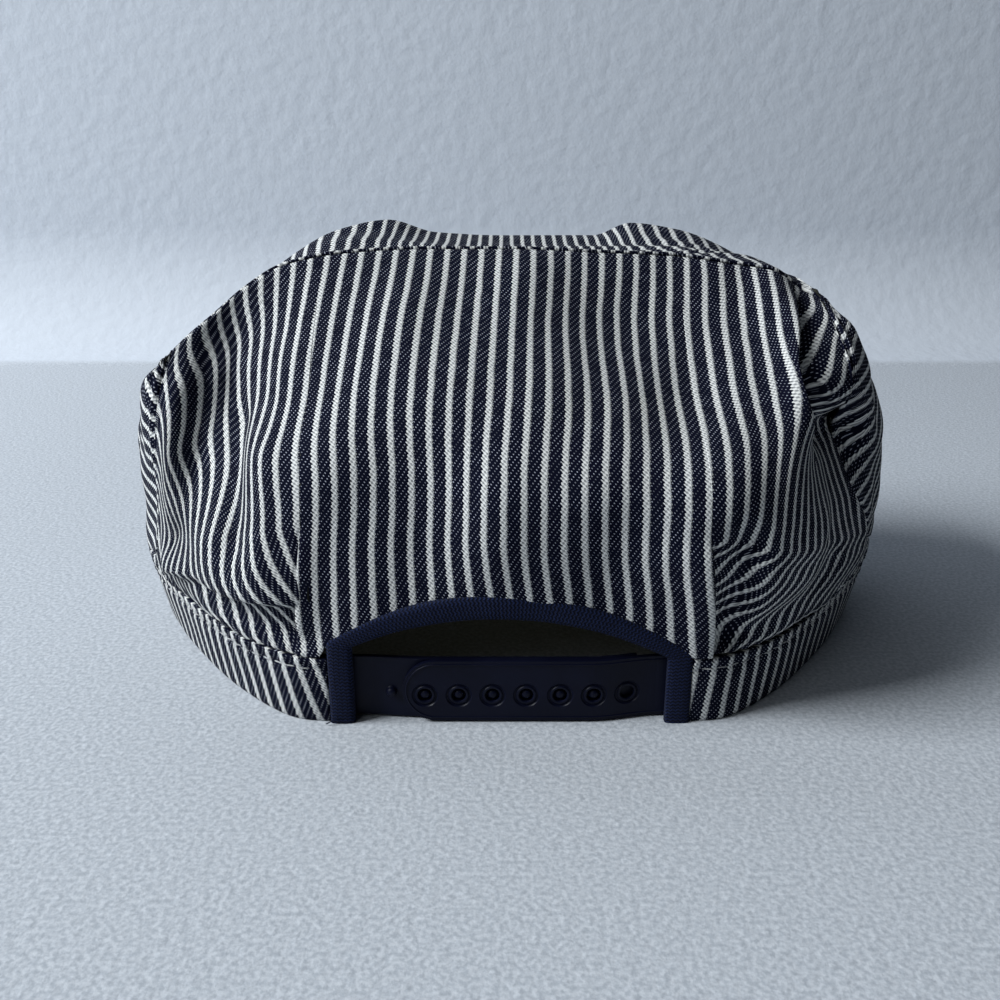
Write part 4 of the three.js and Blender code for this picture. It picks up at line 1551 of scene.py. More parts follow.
@dataclass
class Crown:
    """The wall and the top of the crown, two panels sewn together at the rim.

    top_lean is how much the top's stripes lean inwards on their way to the front, in full
    from lean_half off the middle. The cloth is even along a seam, over a width called
    calm, and at the top's two ends, over calm_tips.
    """

    form: CrownForm
    cloth_map: ClothMap
    wall_columns: int = 480
    wall_rows: int = 97
    top_rows: int = 201
    top_climb: int = 70
    cloth: float = 0.6
    under_tape: float = 2.0
    top_lean: float = 0.14
    lean_half: float = 40.0
    calm: float = 8.0
    calm_tips: float = 12.0
    relief_shift: float = 40.0

    def foot_level(self, at: np.ndarray) -> np.ndarray:
        """Level where the wall starts: at the band, or under the tape over the opening.

        Args:
            at: signed distance round the band.

        Returns:
            The levels.
        """
        goal = OUTER_ARCH.height(at) - self.under_tape
        highest, halvings = 3.0, 20
        low, high = np.zeros_like(at), np.full_like(at, highest)
        for _ in range(halvings):
            middle = (low + high) / 2
            under = self.form.points(at, middle)[..., 2] < goal
            low, high = np.where(under, middle, low), np.where(under, high, middle)
        return np.where(np.abs(at) < OUTER_ARCH.half, low, 0.0)

    def spread(self, low: float, high: float, count: int) -> np.ndarray:
        """Distances from low to high, closer together where the seam runs steeply.

        Args:
            low: the first distance.
            high: the last.
            count: how many.

        Returns:
            The distances.
        """
        samples, weight = 4001, 0.6
        fine = np.linspace(low, high, samples)
        climb = np.diff(self.form.seam_level(fine)) * LEVEL_RISE
        run = running_total(np.hypot(np.diff(fine), weight * climb))
        return np.interp(np.linspace(0, run[-1], count), run, fine)

    def gathered(
        self, distance: np.ndarray, before: np.ndarray, after: np.ndarray, steps: tuple
    ) -> np.ndarray:
        """A share of a pleat for each of the wall's columns.

        Args:
            distance: of each column from the pleat.
            before: the share on the near side.
            after: the share on the far side.
            steps: the share of the columns gathered at the pleat.

        Returns:
            The shares.
        """
        share = np.where(distance < 0, before, after)
        for step, value in zip(PLEAT_STEPS, steps):
            share = np.where(np.abs(distance - step) < 1e-6, value, share)
        return share

    def columns(self) -> WallColumns:
        """The wall's columns, with five extra ones at each pleat.

        Returns:
            The columns.
        """
        half = self.form.plan.half
        at = self.spread(-half, half, self.wall_columns)
        cleared_before, cleared_after, near_width = 0.3, 0.8, 5.0
        for pleat in PLEATS:
            distance = at * pleat.side.value - pleat.column
            at = at[(distance < -cleared_before) | (distance > cleared_after)]
            gathered = pleat.column + np.array(PLEAT_STEPS)
            at = np.concatenate([at, pleat.side.value * gathered])
        at = np.sort(at)
        reach, rise, taken = {}, {}, {}
        for pleat in PLEATS:
            distance = at * pleat.side.value - pleat.column
            before = swell(distance, 1.0, near_width)
            after = swell(distance, -1.0, pleat.recover)
            reach[pleat] = self.gathered(distance, 0.0, 0.0, REACH_STEPS)
            rise[pleat] = self.gathered(distance, before, after, RISE_STEPS)
            taken[pleat] = self.gathered(distance, 0.0, 1.0, TAKEN_STEPS)
        return WallColumns(at, reach, rise, taken)

    def relief(self, at: np.ndarray, up: np.ndarray) -> np.ndarray:
        """Slight unevenness of soft cloth outwards: three waves of unlike lengths.

        Args:
            at: distance along the cloth.
            up: distance up the cloth.

        Returns:
            The heights in millimetres.
        """
        return (
            0.3 * np.sin(at / 7.1 + 1.3 * np.sin(up / 17.0))
            + 0.25 * np.sin(up / 6.3 + at / 23.0 + 2.0)
            + 0.15 * np.sin(at / 3.7 - up / 9.0 + 0.7)
        )

    def ditch(self, tuck: SeamTuck, along: np.ndarray, away: np.ndarray) -> np.ndarray:
        """Depth of the ditch and the puckers beside a sewn edge.

        Args:
            tuck: how that edge turns in.
            along: distance along the seam.
            away: distance from the seam.

        Returns:
            The depth inwards.
        """
        uneven = np.sin(along / 11.0)
        ripple = tuck.pucker * np.sin(2 * math.pi * along / tuck.pucker_pitch + uneven)
        depth = swell(away, tuck.ditch, tuck.reach)
        return depth + swell(away, ripple, tuck.pucker_reach)

    def seam_inward(self, at: np.ndarray) -> np.ndarray:
        """Direction into the crown at the seam, the same for the wall and the top.

        It is the mean over a few places beside each other, below and above the seam.

        Args:
            at: signed distance round the band, of one axis.

        Returns:
            The unit vectors.
        """
        total = 0.0
        aside, above = 0.4, 0.05
        for beside in (-3.0, -1.5, 0.0, 1.5, 3.0):
            near = at + beside
            seam = self.form.seam_level(near)
            for step in (-0.25, 0.25):
                level = seam + step
                place = self.form.points(near, level)
                ahead = self.form.points(near + aside, level)
                along = ahead - self.form.points(near - aside, level)
                up = self.form.points(near, level + above) - place
                total = total - unit(np.cross(along, up))
        return unit(total)

    def wall_grid(self) -> tuple[np.ndarray, np.ndarray]:
        """The wall's places and cloth coordinates, from the band up to the seam.

        Returns:
            Both grids.
        """
        columns = self.columns()
        own = columns.at[:, None]
        share = np.linspace(0, 1, self.wall_rows)
        foot = self.foot_level(columns.at)[:, None]
        seam = self.form.seam_level(columns.at)[:, None]
        level = foot + (seam - foot) * share
        at = own + 0 * level
        under = np.zeros_like(level)
        rise = np.zeros_like(level)
        hidden = np.zeros_like(level)
        for pleat in PLEATS:
            side = pleat.side.value
            rows = np.moveaxis(self.cloth_map.pleat_at(pleat, level), -1, 0)
            _, line, reach, _, proud, deep = rows
            ends = [pleat.column - pleat.before, pleat.column, pleat.column + pleat.after]
            hat = np.interp(own * side, ends, [0, 1, 0])
            at = at + side * hat * (line - pleat.column)
            under = under + side * reach * columns.reach[pleat][:, None]
            lift = columns.rise[pleat][:, None]
            rise = rise + np.where(lift > 0, lift * proud, lift * deep)
            taken = columns.taken[pleat][:, None]
            hidden = hidden + side * taken * self.cloth_map.hidden(pleat, at, level)
        normals = grid_normals(self.form.points(own + 0 * level, level), wraps=True)
        places = self.form.points(at + under, level)
        across = self.cloth_map.measured(self.cloth_map.widths, at, level)
        up = self.cloth_map.measured(self.cloth_map.heights, at, level)
        over = up[:, -1:] - up
        calm = smoothstep(over, 0, self.calm)
        folds = self.form.fold_depth(LOOSE_FOLDS, at, level)
        loose = columns.taken[PLEATS[0]] + columns.taken[PLEATS[1]]
        rise = rise - folds * loose[:, None]
        places = places + normals * (rise + self.relief(across, up) * calm)[..., None]
        inward = self.seam_inward(columns.at)[:, None]
        places = places + inward * self.ditch(TOP_TUCK, across, over)[..., None]
        from_band = np.where(np.abs(own) > OUTER_ARCH.half, up, FAR)
        places = places - normals * self.ditch(BAND_TUCK, across, from_band)[..., None]
        places[:, -1] += inward[:, 0] * TOP_TUCK.turning
        cloth = across + hidden + self.cloth_map.drift(at, level)
        return places, np.stack([cloth, up], axis=-1)

    def top_grid(self) -> tuple[np.ndarray, np.ndarray]:
        """The top's places and cloth coordinates, from the seam behind to the one in front.

        Returns:
            Both grids.
        """
        at = self.spread(-SPINE_STATION, SPINE_STATION, self.top_rows)
        front = self.form.opposite(at)
        share = np.linspace(0, 1, self.top_climb)
        halves = []
        for station in (at, front):
            seam = self.form.seam_level(station)[:, None]
            level = seam + (SPINE_LEVEL - seam) * share
            halves.append(self.form.points(station[:, None], level))
        places = np.concatenate([halves[0], halves[1][:, -2::-1]], axis=1)
        normals = grid_normals(places)
        lean = self.top_lean * np.clip(places[..., 0] / self.lean_half, -1, 1)
        cloth = self.unrolled(places, normals) + lean * places[..., 1]
        for hang in HANGS:
            cloth = hang.laid(places, cloth)
        coords = np.stack([cloth, places[..., 1]], axis=-1)
        along = arc_lengths(places, 0)
        up = arc_lengths(places, 1)
        ends = smoothstep(SPINE_STATION - np.abs(at), 0, self.calm_tips)[:, None]
        for station, away, edge in ((at, up, 0), (front, up[:, -1:] - up, -1)):
            inward = self.seam_inward(station)[:, None]
            places = places + inward * self.ditch(TOP_TUCK, along, away)[..., None]
            places[:, edge] += inward[:, 0] * TOP_TUCK.turning
        away = np.minimum(up, up[:, -1:] - up)
        relief = self.relief(along, up + self.relief_shift)
        lift = relief * smoothstep(away, 0, self.calm) * ends
        return places + normals * lift[..., None], coords

    def unrolled(self, places: np.ndarray, normals: np.ndarray) -> np.ndarray:
        """Distance across the stripes, which run from the back to the front.

        Args:
            places: the top's grid, its rows running from the back to the front.
            normals: its outward directions.

        Returns:
            The distance from the middle at each place, negative on the left.
        """
        ahead = np.array([0.0, 1.0, 0.0])
        stripe = unit(ahead - normals * normals[..., 1:2])
        across = np.cross(stripe, normals)
        middle = places.shape[1] // 2
        spine = places[:, middle]
        start = running_total(np.linalg.norm(np.diff(spine, axis=0), axis=-1))
        start -= start[len(start) // 2]
        steps = np.diff(places, axis=1)
        mean = (across[:, 1:] + across[:, :-1]) / 2
        run = np.concatenate(
            [np.zeros((len(places), 1)), np.cumsum((steps * mean).sum(-1), axis=1)], axis=1
        )
        return start[:, None] + run - run[:, middle : middle + 1]

    def build(self, finishes: Finishes) -> None:
        """Makes both panels and dresses them.

        Args:
            finishes: the cap's materials.
        """
        panels = (
            ("crown_wall_cloth", self.wall_grid(), "crown_side", "crown_cloth"),
            ("crown_top_cloth", self.top_grid(), "crown_top", "top_cloth"),
        )
        for name, (places, coords), node, slot in panels:
            panel = grid_piece(name, places, coords, weld=True)
            thicken(panel, self.cloth)
            dress(panel, finishes.twill, finishes.inside)
            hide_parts(node)


@dataclass
class HeadBand:
    """The band round the head: a folded strip, topstitched under its upper edge.

    slant is how far its stripes lean over its height, at the signed distances slant_at.
    """

    plan: BandPlan
    start: float = 45.6
    columns: int = 641
    rows: int = 25
    thickness: float = 1.9
    stitch_down: float = 3.0
    stitch_samples: int = 900
    stitch_ends: float = 2.0
    stitch_proud: float = 0.1
    pull: float = 0.45
    pull_width: float = 0.9
    upper_round: float = 0.3
    lower_round: float = 0.5
    round_width: float = 0.7
    pucker_down: float = 1.6
    pucker_width: float = 2.2
    slant_at: tuple[float, ...] = (-200, -110, -70, -46, 46, 200)
    slant: tuple[float, ...] = (0, 2, 4, 6, -2.5, 0)

    def outer(self, at: np.ndarray, height: np.ndarray) -> np.ndarray:
        """The outer face: rounded at its edges, pulled in and puckered by the stitches.

        Args:
            at: signed distance round the band.
            height: height above its lower edge.

        Returns:
            The places.
        """
        down = BAND_HEIGHT - height
        pull = swell(down - self.stitch_down, self.pull, self.pull_width)
        upper = swell(down, self.upper_round, self.round_width)
        lip = upper + swell(height, self.lower_round, self.round_width)
        ripple = BAND_TUCK.pucker * np.sin(2 * math.pi * at / BAND_TUCK.pucker_pitch)
        ripple = swell(down - self.pucker_down, ripple, self.pucker_width)
        soft = 0.18 * np.sin(at / 5.3) * np.sin(height / 5.0 + at / 31.0)
        return self.plan.place(at, height, pull + lip + ripple + soft)

    def signed(self, at: np.ndarray) -> np.ndarray:
        """Distances round the band, those past the front counted back from the left."""
        return np.where(at > self.plan.half, at - 2 * self.plan.half, at)

    def build(self, finishes: Finishes) -> None:
        """Makes the band and its stitches.

        Args:
            finishes: the cap's materials.
        """
        last = 2 * self.plan.half - self.start
        signed = self.signed(np.linspace(self.start, last, self.columns)[:, None])
        rim = np.linspace(0, 1, self.rows)[None, :]
        height = rim * BAND_HEIGHT + 0 * signed
        places = self.outer(signed + 0 * height, height)
        run = arc_lengths(places, 0)
        middle = run[self.columns // 2]
        across = np.where(signed < 0, run - 2 * middle, run) + self.start
        lean = np.interp(signed, self.slant_at, self.slant) * (1 - height / BAND_HEIGHT)
        coords = np.stack([across - lean, height], axis=-1)
        band = grid_piece("head_band_cloth", places, coords)
        thicken(band, self.thickness)
        dress(band, finishes.twill, finishes.inside)
        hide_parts("band")
        first, last = self.start + self.stitch_ends, last - self.stitch_ends
        signed = self.signed(np.linspace(first, last, self.stitch_samples))
        seat = self.outer(signed, np.full_like(signed, BAND_HEIGHT - self.stitch_down))
        outward = self.plan.outward(signed)
        normals = np.concatenate([outward, np.zeros((len(signed), 1))], axis=1)
        seat += normals * self.stitch_proud
        thread = stitches("band_topstitch", seat, normals, length=3.5, gap=0.5, radius=0.19)
        dress(thread, finishes.thread)
        self.loose_end(finishes)

    def loose_end(self, finishes: Finishes) -> None:
        """A thread's end that hangs out under the left foot of the tape.

        Args:
            finishes: the cap's materials.
        """
        along = np.linspace(0, 1, 13)
        x = -43.5 - 3.4 * along**1.5
        y = -0.9 - 0.8 * along
        z = 0.35 + 1.9 * (1 - along)
        line = np.stack([x, y, z], axis=-1)
        normals = np.tile([0.0, -1.0, 0.0], (len(along), 1))
        end = stitches("loose_thread", line, normals, length=0.9, gap=-0.45, radius=0.16)
        dress(end, finishes.tape)


@dataclass
class OpeningTape:
    """Knit tape folded over the edge of the opening, from foot to foot over the arch.

    leg is the share of the way that each straight foot takes, and roundness the power of
    its section, 1 for an oval.
    """

    thickness: float = 3.2
    leg: float = 0.17
    outer_corner: int = 20
    inner_corner: int = 14
    roundness: float = 0.55
    steps: int = 420
    ring: int = 26

    def edge(self, arch: Arch, share: np.ndarray) -> np.ndarray:
        """One edge of the tape, by the share of the way from foot to foot.

        Args:
            arch: the edge's form.
            share: 0 to 1.

        Returns:
            Its x and z, along a new last axis.
        """
        over = np.clip((share - self.leg) / (1 - 2 * self.leg), 0, 1)
        x = -arch.half * np.cos(math.pi * over)
        climb = np.clip(np.minimum(share, 1 - share) / self.leg, 0, 1)
        return np.stack([x, arch.height(x) * climb], axis=-1)

    def soften(self, line: np.ndarray, reach: int) -> np.ndarray:
        """Rounds the corners of a line over some of its points, keeping its ends.

        Args:
            line: the points, x and z.
            reach: how many points to each side count.

        Returns:
            The rounded line.
        """
        padded = np.pad(line, ((reach, reach), (0, 0)), mode="edge")
        window = np.hanning(2 * reach + 3)[1:-1]
        window /= window.sum()
        columns = [np.convolve(padded[:, k], window, mode="valid") for k in (0, 1)]
        soft = np.stack(columns, axis=-1)
        fade = smoothstep(np.arange(len(line)), 0, 2 * reach)
        fade = np.minimum(fade, fade[::-1])[:, None]
        return line + (soft - line) * fade

    def build(self, finishes: Finishes) -> None:
        """Sweeps the tape's flat oval section round the opening.

        Args:
            finishes: the cap's materials.
        """
        share = np.linspace(0, 1, self.steps)
        outer = self.soften(self.edge(OUTER_ARCH, share), self.outer_corner)
        inner = self.soften(self.edge(INNER_ARCH, share), self.inner_corner)
        angle = np.linspace(0, 2 * math.pi, self.ring)
        wide, thick = (
            np.sign(part) * np.abs(part) ** self.roundness
            for part in (np.cos(angle), np.sin(angle))
        )
        middle, spread = (outer + inner) / 2, (outer - inner) / 2
        flat = middle[:, None] + spread[:, None] * wide[None, :, None]
        run = arc_lengths(middle[:, None], 0)
        lumps = 1 + 0.05 * np.sin(run / 3.1) + 0.04 * np.sin(run / 7.7 + 1)
        depth = self.thickness / 2 - BINDING_PROUD
        depth = depth + thick[None, :] * self.thickness / 2 * lumps
        places = np.stack([flat[..., 0], depth, flat[..., 1]], axis=-1)
        places[..., 2] = np.maximum(places[..., 2], 0.0)
        girth = arc_lengths(places, 1)
        coords = np.stack([girth, run + 0 * girth], axis=-1)
        tape = grid_piece("opening_tape", places, coords, weld=True)
        self.close_feet(tape)
        dress(tape, finishes.tape)
        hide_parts("opening_binding")

    def close_feet(self, tape: bpy.types.Object) -> None:
        """Fills the tape's two open ends.

        Args:
            tape: the tape.
        """
        bm = bmesh.new()
        bm.from_mesh(tape.data)
        edges = [edge for edge in bm.edges if edge.is_boundary]
        bmesh.ops.holes_fill(bm, edges=edges, sides=0)
        bmesh.ops.recalc_face_normals(bm, faces=bm.faces[:])
        bm.to_mesh(tape.data)
        bm.free()


@dataclass
class SnapStrap:
    """The two plastic straps, the outer one's holes snapped over the inner one's pegs.

    Depths count from the outer strap's free face. face_sewn is the depth of a sewn end,
    and a strap comes out to its free depth from ease_from to ease_to of that end.
    """

    height: float = 16.8
    thickness: float = 1.3
    base: float = 0.6
    gap: float = 0.3
    pitch: float = 8.5
    count: int = 7
    row: float = 7.8
    hole: float = 1.8
    dish: float = 3.35
    peg: float = 1.3
    first_peg: float = -29.9
    end: float = 52.0
    face_sewn: float = 2.9
    outer_tip: float = -27.0
    inner_tip: float = 32.0
    ease_from: float = 13.5
    ease_to: float = 32.0
    segments: int = 48
    bow_steps: int = 24
    cut: float = 2.0
    lip_inset: float = 0.9
    lip_radius: float = 0.22
    lip_from: float = 40.0
    lip_steps: int = 40
    lip_ring: int = 9

    def eased(self, free: float, from_end: float) -> float:
        """How deep a face lies, given its free depth and the distance from its sewn end."""
        share = float(smoothstep(np.array(from_end), self.ease_from, self.ease_to))
        return self.face_sewn + (free - self.face_sewn) * share

    def outer_face(self, x: float) -> float:
        """Depth of the outer strap's face."""
        return self.eased(0.0, self.end - x)

    def inner_face(self, x: float) -> float:
        """Depth of the inner strap's face."""
        behind = self.outer_face(x) + self.thickness + self.gap
        return max(self.eased(self.thickness + self.gap, x + self.end), behind)

    def plate(
        self, low: float, high: float, round_end: bool, holes: list[float]
    ) -> bmesh.types.BMesh:
        """A flat plate at depth 0 with round holes, cut across so that it can bend.

        Args:
            low: where it starts across the back.
            high: where it ends.
            round_end: whether its left end is a half circle.
            holes: the holes' places.

        Returns:
            The plate.
        """
        bm = bmesh.new()
        middle = self.base + self.height / 2
        radius = self.height / 2
        outline = [(high, self.base), (high, self.base + self.height)]
        if round_end:
            for step in range(self.bow_steps + 1):
                turn = math.pi / 2 + math.pi * step / self.bow_steps
                x = low + radius + radius * math.cos(turn)
                outline.append((x, middle + radius * math.sin(turn)))
        else:
            outline += [(low, self.base + self.height), (low, self.base)]
        corners = [bm.verts.new((x, 0, z)) for x, z in outline]
        edges = [bm.edges.new(pair) for pair in zip(corners, corners[1:] + corners[:1])]
        for x in holes:
            spot = Matrix.Translation((x, 0, self.row)) @ Matrix.Rotation(math.pi / 2, 4, "X")
            ring = bmesh.ops.create_circle(
                bm, cap_ends=False, radius=self.dish, segments=self.segments, matrix=spot
            )["verts"]
            edges += [edge for edge in bm.edges if all(vert in ring for vert in edge.verts)]
        bmesh.ops.triangle_fill(bm, edges=edges, use_beauty=True)
        for x in np.arange(low + self.cut, high, self.cut):
            whole = bm.verts[:] + bm.edges[:] + bm.faces[:]
            bmesh.ops.bisect_plane(bm, geom=whole, plane_co=(x, 0, 0), plane_no=(1, 0, 0))
        return bm

    def deepen(self, bm: bmesh.types.BMesh) -> None:
        """Gives a flat plate its thickness."""
        made = bmesh.ops.extrude_face_region(bm, geom=bm.faces[:])
        bmesh.ops.translate(bm, verts=only_verts(made["geom"]), vec=(0, self.thickness, 0))

    def spun(self, bm: bmesh.types.BMesh, x: float, profile: list[tuple]) -> None:
        """Adds a turned shape round a snap's axis.

        Args:
            bm: the mesh it joins.
            x: the snap's place.
            profile: radii and depths, from one end of the shape to the other.
        """
        points = [bm.verts.new((x + radius, depth, self.row)) for radius, depth in profile]
        lines = [bm.edges.new(pair) for pair in zip(points, points[1:])]
        bmesh.ops.spin(
            bm,
            geom=points + lines,
            cent=(x, 0, self.row),
            axis=(0, 1, 0),
            angle=2 * math.pi,
            steps=self.segments,
            use_merge=True,
        )

    def finish_strap(
        self, name: str, bm: bmesh.types.BMesh, face: Callable, finishes: Finishes, node: str
    ) -> None:
        """Bends a strap to its line, and dresses it.

        Args:
            name: the piece's name.
            bm: the flat strap.
            face: the depth of its face across the back.
            finishes: the cap's materials.
            node: the solid it stands for.
        """
        bmesh.ops.remove_doubles(bm, verts=bm.verts[:], dist=WELD)
        bmesh.ops.recalc_face_normals(bm, faces=bm.faces[:])
        for vert in bm.verts:
            vert.co.y += face(vert.co.x)
        strap = add_mesh(name, bm, smooth=False)
        soften_edges(strap, width=0.22, segments=2)
        dress(strap, finishes.plastic)
        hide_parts(node)

    def build(self, finishes: Finishes) -> None:
        """Makes both straps.

        Args:
            finishes: the cap's materials.
        """
        holes = [self.first_peg + self.pitch * (n + 1) for n in range(self.count)]
        bm = self.plate(self.outer_tip, self.end, True, holes)
        self.deepen(bm)
        # Radii and depths of a hole's dished ring, from the face's rim to the back's.
        ring = [
            (self.dish, 0.0),
            (3.1, 0.3),
            (2.85, 0.42),
            (2.6, 0.3),
            (2.4, 0.06),
            (2.1, 0.02),
            (1.88, 0.12),
            (self.hole, 0.35),
            (self.hole, self.thickness),
            (self.dish, self.thickness),
        ]
        for x in holes:
            self.spun(bm, x, ring)
        self.finish_strap("outer_strap", bm, self.outer_face, finishes, "strap_holes")
        bm = self.plate(-self.end, self.inner_tip, False, [])
        self.deepen(bm)
        self.finish_strap("inner_strap", bm, self.inner_face, finishes, "strap_pegs")
        self.pegs(finishes)
        self.lip(finishes)

    def pegs(self, finishes: Finishes) -> None:
        """The round pegs of the inner strap, each with a domed head.

        Args:
            finishes: the cap's materials.
        """
        bm = bmesh.new()
        # Radii and depths of the domed head, from the outer strap's face, and of the foot.
        dome = ((0.0, 0.05), (0.55, 0.12), (1.0, 0.38), (self.peg, 0.85))
        foot = ((self.peg - 0.15, -0.2), (self.peg + 0.25, 0.05))
        for n in range(self.count):
            x = self.first_peg + self.pitch * n
            surface = self.inner_face(x)
            top = surface - (self.thickness + self.gap)
            profile = [(radius, top + depth) for radius, depth in dome]
            profile += [(radius, surface + depth) for radius, depth in foot]
            self.spun(bm, x, profile)
        bmesh.ops.remove_doubles(bm, verts=bm.verts[:], dist=WELD)
        bmesh.ops.recalc_face_normals(bm, faces=bm.faces[:])
        pegs = add_mesh("strap_snap_pegs", bm)
        dress(pegs, finishes.plastic)

    def lip(self, finishes: Finishes) -> None:
        """The thin raised lip round the outer strap's edge.

        Args:
            finishes: the cap's materials.
        """
        radius = self.height / 2 - self.lip_inset
        middle = self.base + self.height / 2
        centre = self.outer_tip + self.height / 2
        straight = np.linspace(self.lip_from, centre, self.lip_steps)
        turn = np.linspace(math.pi / 2, 3 * math.pi / 2, self.lip_steps)[1:-1]
        bow = np.stack([centre + radius * np.cos(turn), middle + radius * np.sin(turn)], axis=-1)
        upper = np.stack([straight, np.full_like(straight, middle + radius)], axis=-1)
        lower = np.stack([straight, np.full_like(straight, middle - radius)], axis=-1)
        line = np.concatenate([upper, bow, lower[::-1]])
        way = unit(np.gradient(line, axis=0))
        side = np.stack([-way[:, 1], way[:, 0]], axis=-1)
        angle = np.linspace(0, 2 * math.pi, self.lip_ring)
        flat = line[:, None] + side[:, None] * (self.lip_radius * np.cos(angle))[None, :, None]
        face = np.array([self.outer_face(x) for x in line[:, 0]])
        depth = face[:, None] - self.lip_radius * np.sin(angle)[None, :]
        places = np.stack([flat[..., 0], depth, flat[..., 1]], axis=-1)
        lip = grid_piece("outer_strap_lip", places, flat, weld=True)
        dress(lip, finishes.plastic)


@dataclass
class Visor:
    """The visor: cloth over a board, with rows of topstitch, hidden behind the cap."""

    plan: BandPlan
    thickness: float = 3.0
    reach: float = 58.0
    half: float = 74.0
    camber: float = 9.0
    splay: float = 0.35
    off_band: float = 0.5
    blunt: float = 0.003
    columns: int = 121
    rows: int = 41
    stitch_rows: tuple[float, ...] = (0.24, 0.42, 0.6, 0.78, 0.94)
    stitch_half: float = 0.93
    stitch_samples: int = 400

    def surface(self, side: np.ndarray, share: np.ndarray) -> np.ndarray:
        """Places on the visor's upper face.

        Args:
            side: -1 to 1 along the band.
            share: 0 at the band, 1 at the edge.

        Returns:
            The places.
        """
        half = self.plan.half
        at = np.where(side < 0, -half - side * self.half, half - side * self.half)
        point = self.plan.loop_point(at)
        outward = self.plan.outward(at)
        ahead = unit(np.stack([outward[..., 0] * self.splay, outward[..., 1]], axis=-1))
        depth = self.reach * np.sqrt(np.maximum(1 - side**4, self.blunt))
        flat = point + ahead * (self.off_band + depth * share)[..., None]
        lift = through_table(self.plan.rows, np.abs(at))[..., 2]
        camber = self.camber * (1 - side**2)
        up = lift + (camber - lift) * share + self.thickness
        return np.concatenate([flat, up[..., None]], axis=-1)

    def build(self, finishes: Finishes) -> None:
        """Makes the visor and its rows of stitches.

        Args:
            finishes: the cap's materials.
        """
        side = np.linspace(-1, 1, self.columns)[:, None]
        share = np.linspace(0, 1, self.rows)[None, :]
        places = self.surface(side + 0 * share, share + 0 * side)
        coords = places[..., :2].copy()
        visor = grid_piece("visor_cloth", places, coords)
        thicken(visor, self.thickness, inner=False)
        soften_edges(visor, width=1.1, segments=3)
        dress(visor, finishes.twill)
        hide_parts("visor")
        side = np.linspace(-self.stitch_half, self.stitch_half, self.stitch_samples)
        up = np.tile([0.0, 0.0, 1.0], (self.stitch_samples, 1))
        for number, part in enumerate(self.stitch_rows):
            line = self.surface(side, np.full_like(side, part))
            name = f"visor_topstitch_{number}"
            thread = stitches(name, line, up, length=2.9, gap=0.7, radius=0.17)
            dress(thread, finishes.thread)


@dataclass(frozen=True)
class Lamp:
    """A soft square light, in metres and watts."""

    name: str
    place: tuple[float, float, float]
    aim: tuple[float, float, float]
    size: float
    power: float
    colour: tuple[float, float, float] = (0.93, 0.97, 1.0)
    seen: bool = True

    def build(self) -> None:
        """Puts the light into the scene."""
        data = bpy.data.lights.new(self.name, "AREA")
        data.shape = "SQUARE"
        data.size = self.size
        data.energy = self.power
        data.color = self.colour
        lamp = bpy.data.objects.new(self.name, data)
        lamp.location = self.place
        way = Vector(self.aim) - Vector(self.place)
        lamp.rotation_euler = way.to_track_quat("-Z", "Y").to_euler()
        lamp.visible_camera = self.seen
        bpy.context.scene.collection.objects.link(lamp)


LAMPS = (
    Lamp("window", (-1.75, -0.42, 1.45), (0, 0, 0.05), 1.0, 76.0),
    Lamp("far_window", (-1.1, -1.4, 1.4), (0, 0, 0.05), 1.0, 3.5),
    Lamp("through_cloth", (0, -0.04, 0.08), (0, -0.04, 0), 0.09, 0.001, (1.0, 0.98, 0.72), False),
)


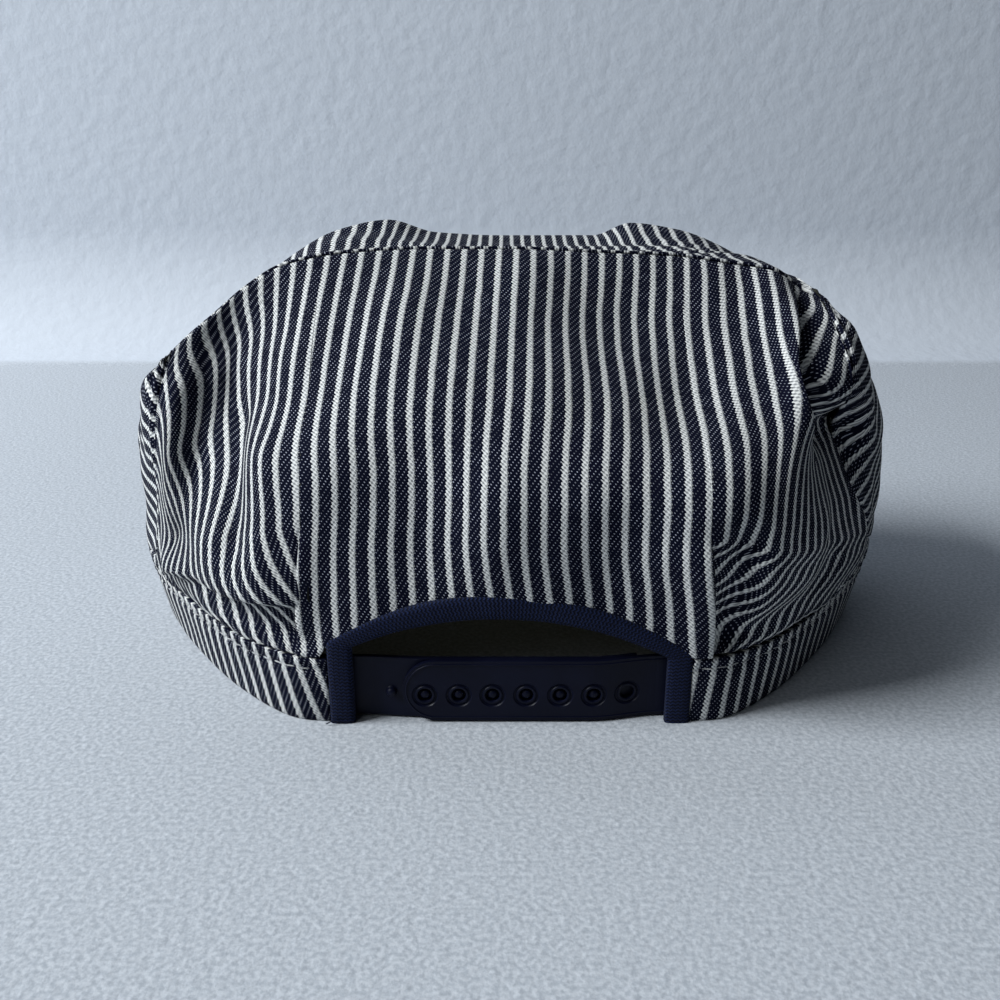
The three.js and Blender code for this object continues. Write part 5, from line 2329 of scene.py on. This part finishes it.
@dataclass
class Studio:
    """The pale floor and backdrop, the lights and the camera.

    The camera's place and the backdrop's distance and bend are in millimetres, the edges
    of the floor and the backdrop's height in metres.
    """

    camera_place: tuple[float, float, float] = (-2.5, -219.5, 140.0)
    pitch_down: float = 20.0
    lens: float = 36.0
    sensor: float = 36.0
    clip_start: float = 0.01
    wall_y: float = 402.0
    sweep: float = 82.0
    sweep_steps: int = 32
    half_width: float = 1.6
    near_edge: float = -1.2
    wall_height: float = 1.2
    sky: Colour = (0.75, 0.84, 1.0, 1.0)
    sky_strength: float = 0.012

    def surroundings(self, finishes: Finishes) -> None:
        """The floor, sweeping up into a backdrop that leaves room for a view of the front.

        Args:
            finishes: the materials.
        """
        bm = bmesh.new()
        bend = self.sweep * MM
        bend_y = self.wall_y * MM - bend
        start = bm.verts.new((-self.half_width, self.near_edge, 0))
        flat = bm.verts.new((-self.half_width, bend_y, 0))
        bm.edges.new((start, flat))
        upright = bmesh.ops.spin(
            bm,
            geom=[flat],
            cent=(-self.half_width, bend_y, bend),
            axis=(1, 0, 0),
            angle=math.pi / 2,
            steps=self.sweep_steps,
        )["geom_last"]
        top = bmesh.ops.extrude_vert_indiv(bm, verts=only_verts(upright))
        bmesh.ops.translate(bm, verts=top["verts"], vec=(0, 0, self.wall_height))
        sheet = bmesh.ops.extrude_edge_only(bm, edges=bm.edges[:])
        across = (2 * self.half_width, 0, 0)
        bmesh.ops.translate(bm, verts=only_verts(sheet["geom"]), vec=across)
        floor = new_object("floor_and_backdrop", bm, smooth=True)
        dress(floor, finishes.surface)

    def build(self, finishes: Finishes) -> None:
        """Sets up the surroundings, the lights and the camera.

        Args:
            finishes: the materials.
        """
        self.surroundings(finishes)
        for lamp in LAMPS:
            lamp.build()
        world = bpy.data.worlds.new("room")
        world.use_nodes = True
        back = world.node_tree.nodes["Background"]
        back.inputs["Color"].default_value = self.sky
        back.inputs["Strength"].default_value = self.sky_strength
        scene = bpy.context.scene
        scene.world = world
        scene.view_settings.view_transform = "Standard"
        data = bpy.data.cameras.new("photo_camera")
        data.lens = self.lens
        data.sensor_width = self.sensor
        data.clip_start = self.clip_start
        camera = bpy.data.objects.new("photo_camera", data)
        camera.location = Vector(np.array(self.camera_place) + cap_offset()) * MM
        camera.rotation_euler = (math.radians(90 - self.pitch_down), 0, 0)
        scene.collection.objects.link(camera)
        scene.camera = camera


def main() -> None:
    """Builds the cap piece by piece, and the studio round it."""
    logging.basicConfig(level=logging.INFO, format="%(name)s: %(message)s")
    finishes = Finishes()
    plan = BandPlan()
    LOG.info("band loop %.1f mm", 2 * plan.half)
    Studio().build(finishes)
    form = CrownForm(plan)
    Crown(form, ClothMap(form)).build(finishes)
    HeadBand(plan).build(finishes)
    OpeningTape().build(finishes)
    SnapStrap().build(finishes)
    Visor(plan).build(finishes)


if __name__ == "__main__":
    main()
